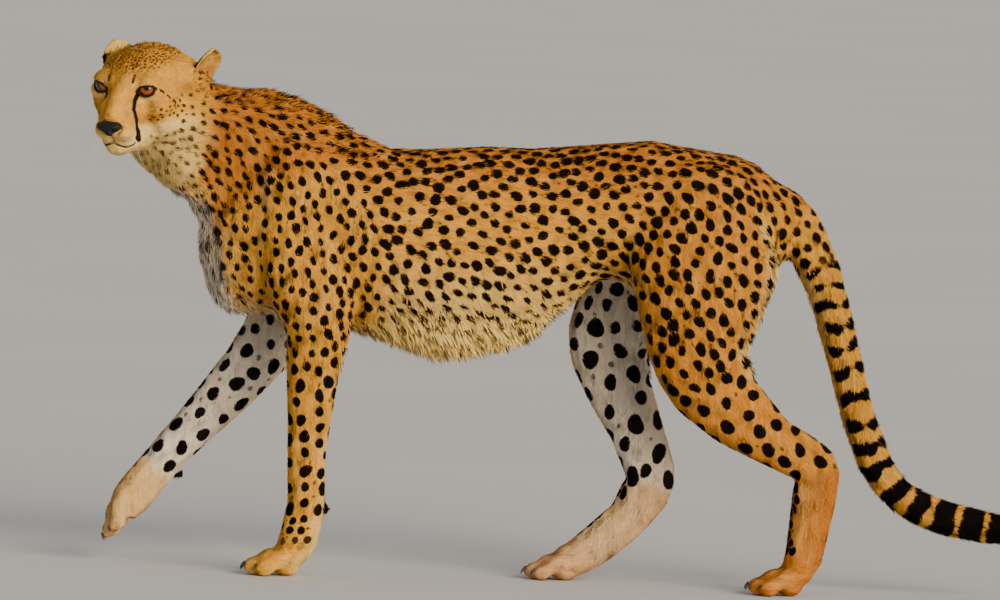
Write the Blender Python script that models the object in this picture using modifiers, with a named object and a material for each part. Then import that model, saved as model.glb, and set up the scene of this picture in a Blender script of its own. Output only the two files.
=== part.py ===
"""A life-size cheetah in mid-step, 0.76 m at the shoulder, as a still museum model.

The animal walks along -X with its head turned to its left (-Y); the floor is z = 0.  Flesh is
modelled as one mass (lofted torso, neck, limbs and tail plus muscle and skull forms), skinned over, and
then parted with hair-thin cuts into the named pieces.  Eyes, ears, nose and claws are separate
pieces seated in sockets.
"""

from math import cos, pi, radians, sin

import bmesh
import bpy
import numpy as np
from mathutils import Matrix, Vector
from mathutils.bvhtree import BVHTree

# ---------------------------------------------------------------- driving dimensions (metres)
CUT = 0.0004               # width of the cuts between pieces of flesh
SEAT = 0.0003              # clearance round a seated piece
VOXEL = 0.0042             # cell of the skin that joins the masses
PLAIN_TRIANGLES = 1500     # budget of the flesh away from the head and paws
FINE_TRIANGLES = 1800      # budget of the head and paws
HEAD_MIDDLE = Vector((0.020, 0.030, 0.0))    # from HEAD_AT to the middle of what is kept fine
HEAD_REACH = 0.135
PAW_MIDDLE = Vector((0.020, 0.0, 0.020))     # the same in a paw's own coordinates
PAW_REACH = 0.070

HEAD_AT = Vector((-0.262, -0.135, 0.755))   # point midway between the eyes
HEAD_YAW = radians(26)     # facing direction, turned from -Y towards -X
HEAD_PITCH = radians(17)   # nose held down
HEAD_ROLL = radians(-2)    # its left side a little lower

EYE_RADIUS = 0.0168
EYE_SEAT = Vector((-0.0105, 0.0360, 0.0005))   # forward, sideways, up from HEAD_AT
EYE_OPENING = (0.0140, 0.0150, 0.0095)   # half depth, width and height between the lids
NOSE_AT = (0.0545, 0.0, -0.0455)         # centre of the nose leather in head coordinates
NOSE_RADII = (0.0115, 0.0195, 0.0125)
EAR_AT = {1: (-0.116, 0.075, -0.016), -1: (-0.112, 0.062, -0.016)}   # roots, left and right
EAR_HEIGHT = 0.057
EAR_HALF_WIDTH = 0.029
EAR_CUP = 0.016            # depth of an ear's hollow
EAR_THICKNESS = 0.0045
EAR_LEAN = {1: 36, -1: 14}    # degrees that the tip of each ear leans outwards
EAR_TURN = {1: 72, -1: 128}   # degrees that the mouth of each ear turns back
EAR_SEAT = 0.0013          # clearance round the root of an ear

SOLE = 0.0                 # level of the flats under the feet
FEET = [                   # name, place of the paw, its heading and pitch in degrees, its scale
    ("forepaw_left", (0.003, -0.055, SOLE), 4, 0, 0.97),
    ("forepaw_right", (-0.229, 0.062, 0.074), -4, 50, 0.97),
    ("hindpaw_left", (0.791, -0.075, SOLE), 4, 0, 0.95),
    ("hindpaw_right", (0.440, 0.055, SOLE), -4, 0, 0.93),
]
PAW = [                    # back of the paw and its main pad: centre, radii and tilt in degrees
    ((-0.012, 0.0, 0.026), (0.032, 0.031, 0.024), 20),
    ((-0.014, 0.0, 0.0095), (0.021, 0.025, 0.0115), 0),
]
KNUCKLE_RADII = (0.022, 0.0125, 0.015)
TOE_PAD_RADII = (0.013, 0.0092, 0.0075)
TOE_RADII = (0.0225, 0.0118, 0.0150)
TOES = [                   # forward, sideways, up of each toe's centre and its scale
    (0.036, -0.0125, 0.0160, 1.00),
    (0.036, 0.0125, 0.0160, 1.00),
    (0.020, -0.0305, 0.0150, 0.92),
    (0.020, 0.0305, 0.0150, 0.92),
]
CLAW_LENGTH = 0.013
CLAW_RADIUS = 0.0032
CLAW_BEND = radians(38)

# ---------------------------------------------------------------- colours (linear RGB)
COLOURS = {
    "coat": (0.60, 0.30, 0.10),
    "leather": (0.015, 0.010, 0.009),
    "eye": (0.30, 0.12, 0.02),
    "horn": (0.05, 0.035, 0.025),
}

# ---------------------------------------------------------------- stations of the lofts
# Each row is one cross-section: x, y, z of its centre, half its depth (in the upright plane
# through the limb's axis) and half its width (across that plane).
TORSO = [
    (0.800, 0.000, 0.580, 0.030, 0.022),
    (0.770, 0.000, 0.574, 0.066, 0.052),
    (0.715, 0.000, 0.567, 0.112, 0.084),
    (0.640, 0.000, 0.572, 0.120, 0.098),
    (0.560, 0.000, 0.585, 0.117, 0.100),
    (0.490, 0.000, 0.585, 0.111, 0.094),
    (0.430, 0.000, 0.554, 0.136, 0.092),
    (0.370, 0.000, 0.530, 0.154, 0.098),
    (0.300, 0.000, 0.519, 0.165, 0.106),
    (0.230, 0.000, 0.512, 0.167, 0.111),
    (0.160, 0.000, 0.521, 0.155, 0.112),
    (0.090, 0.000, 0.544, 0.158, 0.108),
    (0.030, 0.000, 0.566, 0.168, 0.102),
    (-0.030, 0.000, 0.570, 0.166, 0.096),
    (-0.080, 0.000, 0.562, 0.156, 0.088),
    (-0.120, 0.000, 0.562, 0.112, 0.074),
    (-0.142, 0.000, 0.555, 0.066, 0.052),
]
NECK = [
    (0.050, 0.000, 0.578, 0.122, 0.090),
    (0.000, 0.000, 0.616, 0.126, 0.088),
    (-0.060, -0.006, 0.648, 0.122, 0.082),
    (-0.110, -0.016, 0.666, 0.104, 0.078),
    (-0.155, -0.030, 0.684, 0.092, 0.074),
    (-0.195, -0.050, 0.703, 0.079, 0.064),
    (-0.222, -0.068, 0.716, 0.062, 0.052),
    (-0.240, -0.082, 0.722, 0.036, 0.032),
]
TAIL = [
    (0.700, 0.000, 0.614, 0.046, 0.042),
    (0.752, 0.000, 0.602, 0.046, 0.040),
    (0.798, 0.000, 0.571, 0.040, 0.036),
    (0.836, -0.002, 0.500, 0.035, 0.032),
    (0.862, -0.004, 0.425, 0.031, 0.029),
    (0.884, -0.006, 0.345, 0.029, 0.027),
    (0.907, -0.008, 0.268, 0.029, 0.027),
    (0.937, -0.010, 0.200, 0.029, 0.027),
    (0.978, -0.012, 0.155, 0.028, 0.027),
    (1.040, -0.014, 0.128, 0.030, 0.029),
    (1.105, -0.016, 0.114, 0.028, 0.028),
    (1.160, -0.017, 0.111, 0.024, 0.024),
    (1.200, -0.018, 0.115, 0.012, 0.012),
]
FORELEG_PLANTED = [
    (0.010, -0.070, 0.560, 0.070, 0.040),
    (0.036, -0.080, 0.470, 0.072, 0.044),
    (0.052, -0.080, 0.400, 0.056, 0.040),
    (0.048, -0.076, 0.340, 0.045, 0.033),
    (0.045, -0.071, 0.270, 0.039, 0.029),
    (0.042, -0.065, 0.200, 0.033, 0.025),
    (0.043, -0.061, 0.135, 0.032, 0.026),
    (0.040, -0.058, 0.090, 0.031, 0.027),
    (0.032, -0.056, 0.055, 0.031, 0.030),
    (0.020, -0.055, 0.030, 0.026, 0.028),
]
FORELEG_RAISED = [
    (0.000, 0.070, 0.560, 0.070, 0.040),
    (0.010, 0.082, 0.470, 0.072, 0.044),
    (-0.010, 0.082, 0.395, 0.056, 0.040),
    (-0.050, 0.078, 0.325, 0.047, 0.034),
    (-0.097, 0.074, 0.267, 0.041, 0.029),
    (-0.143, 0.070, 0.215, 0.035, 0.025),
    (-0.184, 0.067, 0.168, 0.032, 0.026),
    (-0.216, 0.065, 0.128, 0.032, 0.027),
    (-0.236, 0.063, 0.100, 0.031, 0.029),
    (-0.249, 0.062, 0.080, 0.024, 0.027),
]
HINDLEG_REAR = [
    (0.655, -0.062, 0.600, 0.085, 0.036),
    (0.650, -0.078, 0.520, 0.118, 0.050),
    (0.647, -0.084, 0.440, 0.100, 0.050),
    (0.650, -0.086, 0.375, 0.082, 0.044),
    (0.676, -0.086, 0.320, 0.068, 0.038),
    (0.722, -0.085, 0.275, 0.054, 0.032),
    (0.778, -0.084, 0.238, 0.042, 0.026),
    (0.836, -0.082, 0.205, 0.038, 0.025),
    (0.837, -0.080, 0.160, 0.037, 0.025),
    (0.831, -0.078, 0.110, 0.034, 0.025),
    (0.824, -0.076, 0.062, 0.031, 0.028),
    (0.812, -0.075, 0.032, 0.026, 0.028),
]
HINDLEG_FRONT = [
    (0.625, 0.062, 0.600, 0.085, 0.036),
    (0.590, 0.078, 0.520, 0.112, 0.050),
    (0.550, 0.084, 0.445, 0.096, 0.050),
    (0.512, 0.082, 0.385, 0.072, 0.044),
    (0.520, 0.078, 0.325, 0.058, 0.038),
    (0.545, 0.074, 0.268, 0.048, 0.032),
    (0.567, 0.070, 0.215, 0.043, 0.026),
    (0.582, 0.067, 0.163, 0.042, 0.025),
    (0.554, 0.063, 0.108, 0.036, 0.025),
    (0.514, 0.060, 0.069, 0.034, 0.027),
    (0.474, 0.057, 0.038, 0.030, 0.029),
    (0.444, 0.055, 0.028, 0.024, 0.028),
]

# Muscle masses laid over the torso: centre, radii along x, y, z and tilt about y in degrees.
MUSCLES = [
    ((0.072, -0.060, 0.108), (0.012, 0.010, 0.014), 0),       # wrist pad of the planted leg
    ((-0.160, 0.068, 0.146), (0.014, 0.010, 0.012), 45),      # wrist pad of the raised leg
    ((0.014, -0.070, 0.585), (0.074, 0.040, 0.118), -12),     # near shoulder blade
    ((0.006, 0.070, 0.585), (0.074, 0.040, 0.118), -12),      # far shoulder blade
    ((-0.006, 0.000, 0.684), (0.056, 0.040, 0.050), 24),      # withers
    ((-0.215, -0.030, 0.690), (0.045, 0.036, 0.052), 0),      # nape behind the far cheek
    ((-0.114, -0.020, 0.590), (0.050, 0.058, 0.088), -30),    # throat ruff
    ((-0.162, -0.060, 0.640), (0.052, 0.055, 0.062), -40),    # ruff under the jaw
    ((-0.084, 0.000, 0.494), (0.054, 0.080, 0.090), 0),       # breast
    ((0.060, 0.000, 0.436), (0.120, 0.060, 0.050), 0),        # brisket
    ((0.640, -0.060, 0.590), (0.110, 0.048, 0.085), 0),       # near haunch
    ((0.620, 0.060, 0.590), (0.110, 0.048, 0.085), 0),        # far haunch
    ((0.725, -0.050, 0.520), (0.040, 0.036, 0.095), 8),       # near buttock
    ((0.700, 0.050, 0.520), (0.045, 0.036, 0.095), 8),        # far buttock
]

# Skull and face masses in head coordinates (forward, sideways, up; both sides where s > 0).
SKULL = [
    ((-0.058, 0.000, 0.000), (0.064, 0.065, 0.051)),          # brain case
    ((-0.096, 0.000, -0.004), (0.050, 0.067, 0.050)),         # back of the head
    ((-0.094, 0.050, 0.000), (0.034, 0.028, 0.030)),          # root of the ear
    ((-0.020, 0.000, 0.006), (0.036, 0.042, 0.028)),          # forehead
    ((-0.014, 0.037, 0.010), (0.022, 0.021, 0.016)),          # brow
    ((-0.020, 0.046, -0.008), (0.028, 0.019, 0.021)),         # outer rim of the eye
    ((-0.038, 0.042, -0.028), (0.040, 0.028, 0.034)),         # cheekbone
    ((-0.050, 0.040, -0.062), (0.040, 0.032, 0.036)),         # jowl
    ((-0.010, 0.018, -0.076), (0.050, 0.022, 0.024)),         # lower jaw
    ((0.004, 0.020, -0.030), (0.034, 0.018, 0.024)),          # side of the muzzle
    ((0.036, 0.0165, -0.053), (0.023, 0.0175, 0.018)),        # whisker pad
    ((0.029, 0.000, -0.083), (0.021, 0.022, 0.0165)),         # chin
    ((0.042, 0.000, -0.045), (0.022, 0.016, 0.018)),          # tip of the muzzle
]
NOSE_BRIDGE = [
    (-0.030, 0.000, 0.006, 0.022, 0.026),
    (-0.004, 0.000, -0.004, 0.022, 0.019),
    (0.022, 0.000, -0.020, 0.022, 0.016),
    (0.048, 0.000, -0.038, 0.016, 0.014),
]

# ---------------------------------------------------------------- where the flesh is parted
SHELLS = [                 # the muscled top of each leg: centre, radii, tilt, then the pieces
    ((0.045, -0.090, 0.478), (0.112, 0.076, 0.170), -2, "arm_left", "foreleg_left",
     (0.030, -0.100, 0.480), (0.045, -0.071, 0.260)),
    ((0.012, 0.090, 0.484), (0.112, 0.076, 0.176), 8, "arm_right", "foreleg_right",
     (0.010, 0.100, 0.480), (-0.097, 0.074, 0.267)),
    ((0.652, -0.094, 0.478), (0.134, 0.076, 0.172), 0, "thigh_left", "hindleg_left",
     (0.650, -0.090, 0.470), (0.722, -0.085, 0.275)),
    ((0.568, 0.094, 0.488), (0.132, 0.076, 0.178), 20, "thigh_right", "hindleg_right",
     (0.570, 0.090, 0.480), (0.545, 0.074, 0.268)),
]
BODY_INSIDE = (0.300, 0.0, 0.600)
BODY_PLATES = [            # centre, axis, radius; then the piece cut off and a point inside it
    ((-0.060, -0.005, 0.632), (-0.80, -0.10, 0.60), 0.180, "neck_and_head", (-0.150, -0.030, 0.690)),
    ((0.825, -0.002, 0.518), (0.42, 0.0, -0.91), 0.060, "tail", (0.858, -0.004, 0.425)),
]
HEAD_PLATE = ((-0.118, 0.020, -0.055), (0.80, -0.30, 0.52), 0.180)   # in head coordinates
HEAD_INSIDE = (-0.050, 0.0, 0.0)
NECK_INSIDE = (-0.120, -0.020, 0.670)
TAIL_INSIDE = (0.850, -0.004, 0.450)
TAIL_PLATES = [
    ((0.867, -0.005, 0.398), (0.24, 0.0, -0.97), 0.045, "tail_lower", (0.903, -0.008, 0.268)),
    ((0.914, -0.009, 0.240), (0.36, 0.0, -0.93), 0.045, "tail_end", (0.978, -0.012, 0.155)),
    ((1.020, -0.013, 0.135), (0.93, 0.0, -0.37), 0.045, "tail_tip", (1.105, -0.016, 0.114)),
]
LEG_PLATES = [             # the leg to cut, its plate, and the two pieces with a point in each
    ("foreleg_left", (0.042, -0.059, 0.098), (0.10, 0.0, 1.0), 0.050,
     "forearm_left", (0.045, -0.071, 0.260), "forepaw_left", (0.020, -0.055, 0.030)),
    ("foreleg_right", (-0.194, 0.066, 0.154), (-0.62, 0.0, -0.78), 0.050,
     "forearm_right", (-0.097, 0.074, 0.267), "forepaw_right", (-0.240, 0.062, 0.090)),
    ("hindleg_left", (0.838, -0.081, 0.192), (0.50, 0.0, -0.86), 0.056,
     "shank_left", (0.722, -0.085, 0.275), "hindfoot_left", (0.831, -0.078, 0.110)),
    ("hindleg_right", (0.584, 0.067, 0.156), (-0.20, 0.0, -0.98), 0.062,
     "shank_right", (0.545, 0.074, 0.268), "hindfoot_right", (0.514, 0.060, 0.069)),
    ("hindfoot_left", (0.824, -0.076, 0.062), (0.25, 0.0, 1.0), 0.052,
     "metatarsus_left", (0.831, -0.078, 0.110), "hindpaw_left", (0.812, -0.075, 0.030)),
    ("hindfoot_right", (0.488, 0.058, 0.050), (-0.75, 0.0, -0.65), 0.056,
     "metatarsus_right", (0.520, 0.060, 0.075), "hindpaw_right", (0.444, 0.055, 0.028)),
]


def clear_scene():
    """Empty the file of whatever it opened with."""
    for thing in list(bpy.data.objects):
        bpy.data.objects.remove(thing, do_unlink=True)


def tilt(degrees):
    return Matrix.Rotation(radians(degrees), 4, "Y")


def new_collection(name):
    group = bpy.data.collections.new(name)
    bpy.context.scene.collection.children.link(group)
    return group


def material(name, roughness):
    paint = bpy.data.materials.new(name)
    paint.use_nodes = True
    shader = paint.node_tree.nodes["Principled BSDF"]
    shader.inputs["Base Color"].default_value = (*COLOURS[name], 1.0)
    shader.inputs["Roughness"].default_value = roughness
    shader.inputs["Metallic"].default_value = 0.0
    return paint


def object_from(mesh, name, group):
    thing = bpy.data.objects.new(name, mesh)
    group.objects.link(thing)
    return thing


def mesh_from(vertices, faces, name):
    mesh = bpy.data.meshes.new(name)
    mesh.from_pydata([tuple(v) for v in vertices], [], faces)
    mesh.update()
    return mesh


def mesh_from_bmesh(bm, name):
    mesh = bpy.data.meshes.new(name)
    bm.to_mesh(mesh)
    bm.free()
    return mesh


def smooth_curve(rows, steps):
    """Catmull-Rom points through the rows, `steps` to each span."""
    rows = np.array(rows, dtype=float)
    padded = np.vstack([2 * rows[0] - rows[1], rows, 2 * rows[-1] - rows[-2]])
    result = []
    for i in range(1, len(padded) - 2):
        a, b, c, d = padded[i - 1:i + 3]
        for k in range(steps):
            t = k / steps
            result.append(0.5 * (2 * b + (c - a) * t + (2 * a - 5 * b + 4 * c - d) * t ** 2
                                 + (3 * b - a - 3 * c + d) * t ** 3))
    result.append(padded[-2])
    return np.array(result)


def loft(stations, sides=28, steps=4, squareness=2.2, upright=False):
    """A closed tube through the stations, with superelliptic sections square to its line."""
    rows = smooth_curve(stations, steps)
    centres = rows[:, :3]
    tangents = np.gradient(centres, axis=0)
    if upright:
        tangents[:, 1:] = 0.0
    tangents /= np.linalg.norm(tangents, axis=1)[:, None]
    vertices = []
    for centre, tangent, (depth, width) in zip(centres, tangents, rows[:, 3:]):
        across = np.array((0.0, 1.0, 0.0))
        across -= tangent * across.dot(tangent)
        across /= np.linalg.norm(across)
        along = np.cross(across, tangent)
        for k in range(sides):
            angle = 2 * pi * k / sides
            c, s = cos(angle), sin(angle)
            power = 2 / squareness
            y = width * abs(c) ** power * (1 if c > 0 else -1)
            z = depth * abs(s) ** power * (1 if s > 0 else -1)
            vertices.append(centre + across * y + along * z)
    faces = []
    rings = len(rows)
    for r in range(rings - 1):
        for k in range(sides):
            n = (k + 1) % sides
            faces.append((r * sides + k, r * sides + n, (r + 1) * sides + n, (r + 1) * sides + k))
    faces.append(tuple(reversed(range(sides))))
    faces.append(tuple((rings - 1) * sides + k for k in range(sides)))
    mesh = mesh_from(vertices, faces, "loft")
    bm = bmesh.new()
    bm.from_mesh(mesh)
    bmesh.ops.recalc_face_normals(bm, faces=bm.faces)
    return mesh_from_bmesh(bm, "loft")


def ellipsoid(centre, radii, turn=Matrix.Identity(4), segments=24):
    """A scaled sphere mesh, turned about its own centre."""
    bm = bmesh.new()
    bmesh.ops.create_uvsphere(bm, u_segments=segments, v_segments=segments // 2, radius=1.0)
    place = Matrix.Translation(centre) @ turn @ Matrix.Diagonal((*radii, 1.0))
    bmesh.ops.transform(bm, matrix=place, verts=bm.verts)
    return mesh_from_bmesh(bm, "ellipsoid")


def head_frame():
    """Matrix from head coordinates (forward, to its left, up) to the world."""
    forward = Vector((-sin(HEAD_YAW) * cos(HEAD_PITCH), -cos(HEAD_YAW) * cos(HEAD_PITCH),
                      -sin(HEAD_PITCH)))
    left = Vector((cos(HEAD_YAW), -sin(HEAD_YAW), 0.0))
    up = forward.cross(left)
    axes = Matrix((forward, left, up)).transposed().to_4x4()
    return Matrix.Translation(HEAD_AT) @ axes @ Matrix.Rotation(HEAD_ROLL, 4, "X")


def transformed(mesh, matrix):
    mesh.transform(matrix)
    return mesh


def join(meshes):
    """One mesh holding every given mesh."""
    bm = bmesh.new()
    for mesh in meshes:
        bm.from_mesh(mesh)
    return mesh_from_bmesh(bm, "joined")


# ---------------------------------------------------------------- paws
def paw_place(at, heading, pitch, size):
    """Matrix from a paw's coordinates (toes forward, sideways, up) to the world."""
    turn = Matrix.Rotation(pi + radians(heading), 4, "Z") @ tilt(pitch)
    return Matrix.Translation(at) @ turn @ Matrix.Scale(size, 4)


def paw_masses(place):
    """Toes, knuckles and pads of one paw."""
    shapes = [ellipsoid(centre, radii, tilt(angle)) for centre, radii, angle in PAW]
    for forward, side, up, scale in TOES:
        knuckle = (forward - 0.020, side * 0.86, up + 0.013)
        pad = (forward + 0.002, side, up - 0.010)
        shapes.append(ellipsoid((forward, side, up), [r * scale for r in TOE_RADII], tilt(12)))
        shapes.append(ellipsoid(knuckle, KNUCKLE_RADII, tilt(28)))
        shapes.append(ellipsoid(pad, TOE_PAD_RADII))
    return [transformed(shape, place) for shape in shapes]


def claw_places(place):
    """Root matrices of a paw's claws, one at the tip of each toe."""
    places = []
    for forward, side, up, scale in TOES:
        root = Vector((forward + 0.0195 * scale, side, up + 0.001))
        places.append(place @ Matrix.Translation(root) @ tilt(34))
    return places


def claw_mesh(margin=0.0):
    """A blunt curved spike: rings shrink along an arc that bends down."""
    sides, rings = 6, 4
    radius = CLAW_RADIUS + margin
    arc = CLAW_LENGTH / CLAW_BEND
    vertices = []
    for r in range(rings):
        t = r / (rings - 1)
        angle = CLAW_BEND * t
        centre = Vector((arc * sin(angle), 0.0, -arc * (1 - cos(angle))))
        size = radius * (1 - 0.72 * t ** 1.3)
        for k in range(sides):
            a = 2 * pi * k / sides
            offset = Vector((sin(angle) * sin(a), 0.72 * cos(a), cos(angle) * sin(a)))
            vertices.append(centre + offset * size)
    faces = [tuple(range(sides))]
    for r in range(rings - 1):
        for k in range(sides):
            n = (k + 1) % sides
            faces.append((r * sides + k, (r + 1) * sides + k, (r + 1) * sides + n, r * sides + n))
    faces.append(tuple((rings - 1) * sides + k for k in reversed(range(sides))))
    bm = bmesh.new()
    bm.from_mesh(mesh_from(vertices, faces, "claw"))
    bmesh.ops.translate(bm, verts=bm.verts, vec=(-0.004, 0.0, 0.0))
    bmesh.ops.recalc_face_normals(bm, faces=bm.faces)
    return mesh_from_bmesh(bm, "claw")


# ---------------------------------------------------------------- flesh
def flesh_masses():
    shapes = [loft(TORSO, upright=True), loft(NECK), loft(TAIL, squareness=2.0)]
    shapes += [loft(limb) for limb in (FORELEG_PLANTED, FORELEG_RAISED, HINDLEG_REAR, HINDLEG_FRONT)]
    shapes += [ellipsoid(centre, radii, tilt(angle)) for centre, radii, angle in MUSCLES]
    head = head_frame()
    for (forward, side, up), radii in SKULL:
        for sign in ((1, -1) if side else (1,)):
            shapes.append(transformed(ellipsoid((forward, side * sign, up), radii), head))
    shapes.append(transformed(loft(NOSE_BRIDGE, sides=16), head))
    for name, *pose in FEET:
        shapes += paw_masses(paw_place(*pose))
    return shapes


def baked(thing):
    """The object's evaluated mesh, in place of its modifiers."""
    graph = bpy.context.evaluated_depsgraph_get()
    mesh = bpy.data.meshes.new_from_object(thing.evaluated_get(graph))
    thing.modifiers.clear()
    thing.data = mesh
    return thing


def thinned(body, chosen, triangles):
    """Simplify only the chosen vertices, until the whole surface has `triangles`."""
    group = body.vertex_groups.new(name="chosen")
    group.add([v.index for v in body.data.vertices if chosen(v.co)], 1.0, "REPLACE")
    thin = body.modifiers.new("thin", "DECIMATE")
    thin.ratio = triangles / sum(len(face.vertices) - 2 for face in body.data.polygons)
    thin.vertex_group = group.name
    thin.use_collapse_triangulate = True
    baked(body)
    body.vertex_groups.clear()


def flesh(group):
    """All masses under one skin, smoothed and then simplified, least on the head and paws."""
    body = object_from(join(flesh_masses()), "flesh", group)
    skin = body.modifiers.new("skin", "REMESH")
    skin.mode = "VOXEL"
    skin.voxel_size = VOXEL
    ease = body.modifiers.new("ease", "SMOOTH")
    ease.factor = 0.5
    ease.iterations = 9
    baked(body)
    fine_places = [(HEAD_AT + HEAD_MIDDLE, HEAD_REACH)]
    fine_places += [(paw_place(*pose) @ PAW_MIDDLE, PAW_REACH) for name, *pose in FEET]

    def is_fine(point):
        return any((point - centre).length < reach for centre, reach in fine_places)

    fine_now = 2 * sum(is_fine(v.co) for v in body.data.vertices)
    thinned(body, lambda point: not is_fine(point), fine_now + PLAIN_TRIANGLES)
    thinned(body, is_fine, PLAIN_TRIANGLES + FINE_TRIANGLES)
    return body


# ---------------------------------------------------------------- cutters
def cutter(mesh, name, group):
    tool = object_from(mesh, name, group)
    tool.hide_render = True
    tool.display_type = "WIRE"
    return tool


def plate(centre, axis, radius, group, name):
    """A thin disc square to `axis`."""
    bm = bmesh.new()
    bmesh.ops.create_cone(bm, cap_ends=True, segments=12, radius1=radius, radius2=radius, depth=CUT)
    turn = Vector((0, 0, 1)).rotation_difference(Vector(axis)).to_matrix().to_4x4()
    bmesh.ops.transform(bm, matrix=Matrix.Translation(centre) @ turn, verts=bm.verts)
    return cutter(mesh_from_bmesh(bm, name), name, group)


def shell(centre, radii, turn, group, name):
    """A thin closed ellipsoidal wall."""
    tool = cutter(ellipsoid(centre, radii, turn, segments=14), name, group)
    wall = tool.modifiers.new("wall", "SOLIDIFY")
    wall.thickness = CUT
    wall.offset = 0.0
    return baked(tool)


def subtract(thing, tool):
    cut = thing.modifiers.new("cut", "BOOLEAN")
    cut.operation = "DIFFERENCE"
    cut.solver = "EXACT"
    cut.object = tool
    return baked(thing)


def islands(mesh):
    """Each connected piece of a mesh as a bmesh, largest first."""
    source = bmesh.new()
    source.from_mesh(mesh)
    waiting = set(source.verts)
    pieces = []
    while waiting:
        front = [waiting.pop()]
        linked = set(front)
        while front:
            vertex = front.pop()
            for edge in vertex.link_edges:
                other = edge.other_vert(vertex)
                if other not in linked:
                    linked.add(other)
                    waiting.discard(other)
                    front.append(other)
        piece = source.copy()
        piece.verts.ensure_lookup_table()
        keep = {vertex.index for vertex in linked}
        bmesh.ops.delete(piece, geom=[v for v in piece.verts if v.index not in keep], context="VERTS")
        pieces.append(piece)
    source.free()
    return sorted(pieces, key=lambda bm: -abs(bm.calc_volume()))


def holds(bm, point):
    """Whether a point lies inside a closed bmesh."""
    tree = BVHTree.FromBMesh(bm)
    direction = Vector((0.0123, 0.0071, 1.0)).normalized()
    start, hits = Vector(point), 0
    while True:
        place, normal, index, distance = tree.ray_cast(start, direction)
        if place is None:
            return hits % 2 == 1
        hits += 1
        start = place + direction * 1e-6


def split(thing, tool, names, group):
    """Part an object with a cutter; `names` maps each new piece to a point inside it."""
    subtract(thing, tool)
    result = {}
    for piece in islands(thing.data):
        for name, point in names.items():
            if name not in result and holds(piece, point):
                result[name] = object_from(mesh_from_bmesh(piece, name), name, group)
                break
    missing = set(names) - set(result)
    assert not missing, missing
    bpy.data.objects.remove(thing)
    return result


# ---------------------------------------------------------------- seated pieces
def ear_place(sign):
    lean = Matrix.Rotation(-sign * radians(EAR_LEAN[sign]), 4, "X")
    turn = Matrix.Rotation(sign * radians(EAR_TURN[sign]), 4, "Z")
    forward, side, up = EAR_AT[sign]
    return head_frame() @ Matrix.Translation((forward, side * sign, up)) @ lean @ turn


def ear_sheet(margin):
    """The middle surface of an ear: a scoop that opens forwards and narrows to a round tip."""
    across, along = 6, 6
    vertices = []
    for j in range(along + 1):
        t = j / along
        rise = -margin + t * (EAR_HEIGHT + 2 * margin)
        crown = max(0.0, (t - 0.25) / 0.75)
        half = (EAR_HALF_WIDTH + margin) * (1 - 0.90 * crown ** 4) * (0.78 + 0.22 * min(1, t / 0.3))
        for i in range(across + 1):
            u = 2 * i / across - 1
            depth = EAR_CUP * (1 - u * u) * (1 - 0.55 * t)
            vertices.append((-depth - 0.006 * t, u * half, rise))
    row = across + 1
    faces = [(j * row + i, j * row + i + 1, (j + 1) * row + i + 1, (j + 1) * row + i)
             for j in range(along) for i in range(across)]
    return mesh_from(vertices, faces, "ear")


def ear(name, sign, margin, group):
    thing = object_from(transformed(ear_sheet(margin), ear_place(sign)), name, group)
    wall = thing.modifiers.new("wall", "SOLIDIFY")
    wall.thickness = EAR_THICKNESS + 2 * margin
    wall.offset = 0.0
    return baked(thing)


def eyelid_opening(sign):
    """What the lids leave open: an almond through which the eye shows."""
    forward, side, up = EYE_SEAT
    almond = ellipsoid((0.0, 0.0, 0.0), EYE_OPENING, segments=14)
    turn = Matrix.Rotation(sign * radians(24), 4, "Z") @ Matrix.Rotation(sign * radians(12), 4, "X")
    place = Matrix.Translation((forward + 0.015, (side + 0.003) * sign, up)) @ turn
    return transformed(almond, head_frame() @ place)


def eye_mesh(sign, margin):
    forward, side, up = EYE_SEAT
    radius = EYE_RADIUS + margin
    ball = ellipsoid((forward, side * sign, up), (radius, radius, radius), segments=14)
    return transformed(ball, head_frame())


def nose_mesh(margin):
    """The leather of the nose: broad on top, narrowing to the lip."""
    pad = ellipsoid((0, 0, 0), [r + margin for r in NOSE_RADII], segments=12)
    for vertex in pad.vertices:
        vertex.co.y *= 0.80 + 0.24 * vertex.co.z / NOSE_RADII[2]
    return transformed(pad, head_frame() @ Matrix.Translation(NOSE_AT))


def parted(body, parts, tools):
    """The named pieces of flesh, cut from the whole."""
    pieces = {}
    for centre, radii, angle, top, leg, top_point, leg_point in SHELLS:
        tool = shell(centre, radii, tilt(angle), tools, "cut_" + top)
        names = {"body": BODY_INSIDE, top: top_point, leg: leg_point}
        pieces.update(split(body, tool, names, parts))
        body = pieces.pop("body")
    for centre, axis, radius, name, point in BODY_PLATES:
        tool = plate(centre, axis, radius, tools, "cut_" + name)
        pieces.update(split(body, tool, {"body": BODY_INSIDE, name: point}, parts))
        body = pieces.pop("body")
    body.name = "trunk"
    pieces["trunk"] = body

    skull = head_frame()
    centre, axis, radius = HEAD_PLATE
    tool = plate(skull @ Vector(centre), skull.to_3x3() @ Vector(axis), radius, tools, "cut_head")
    names = {"head": skull @ Vector(HEAD_INSIDE), "neck": NECK_INSIDE}
    pieces.update(split(pieces.pop("neck_and_head"), tool, names, parts))

    rest, start = pieces.pop("tail"), TAIL_INSIDE
    for i, (centre, axis, radius, name, point) in enumerate(TAIL_PLATES):
        kept = f"tail_{i + 1}"
        tool = plate(centre, axis, radius, tools, "cut_" + name)
        cut = split(rest, tool, {kept: start, name: point}, parts)
        pieces[kept] = cut[kept]
        rest, start = cut[name], point
    rest.name = "tail_4"
    pieces["tail_4"] = rest

    for whole, centre, axis, radius, upper, upper_point, lower, lower_point in LEG_PLATES:
        tool = plate(centre, axis, radius, tools, "cut_" + lower)
        names = {upper: upper_point, lower: lower_point}
        pieces.update(split(pieces.pop(whole), tool, names, parts))
    return pieces


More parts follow.
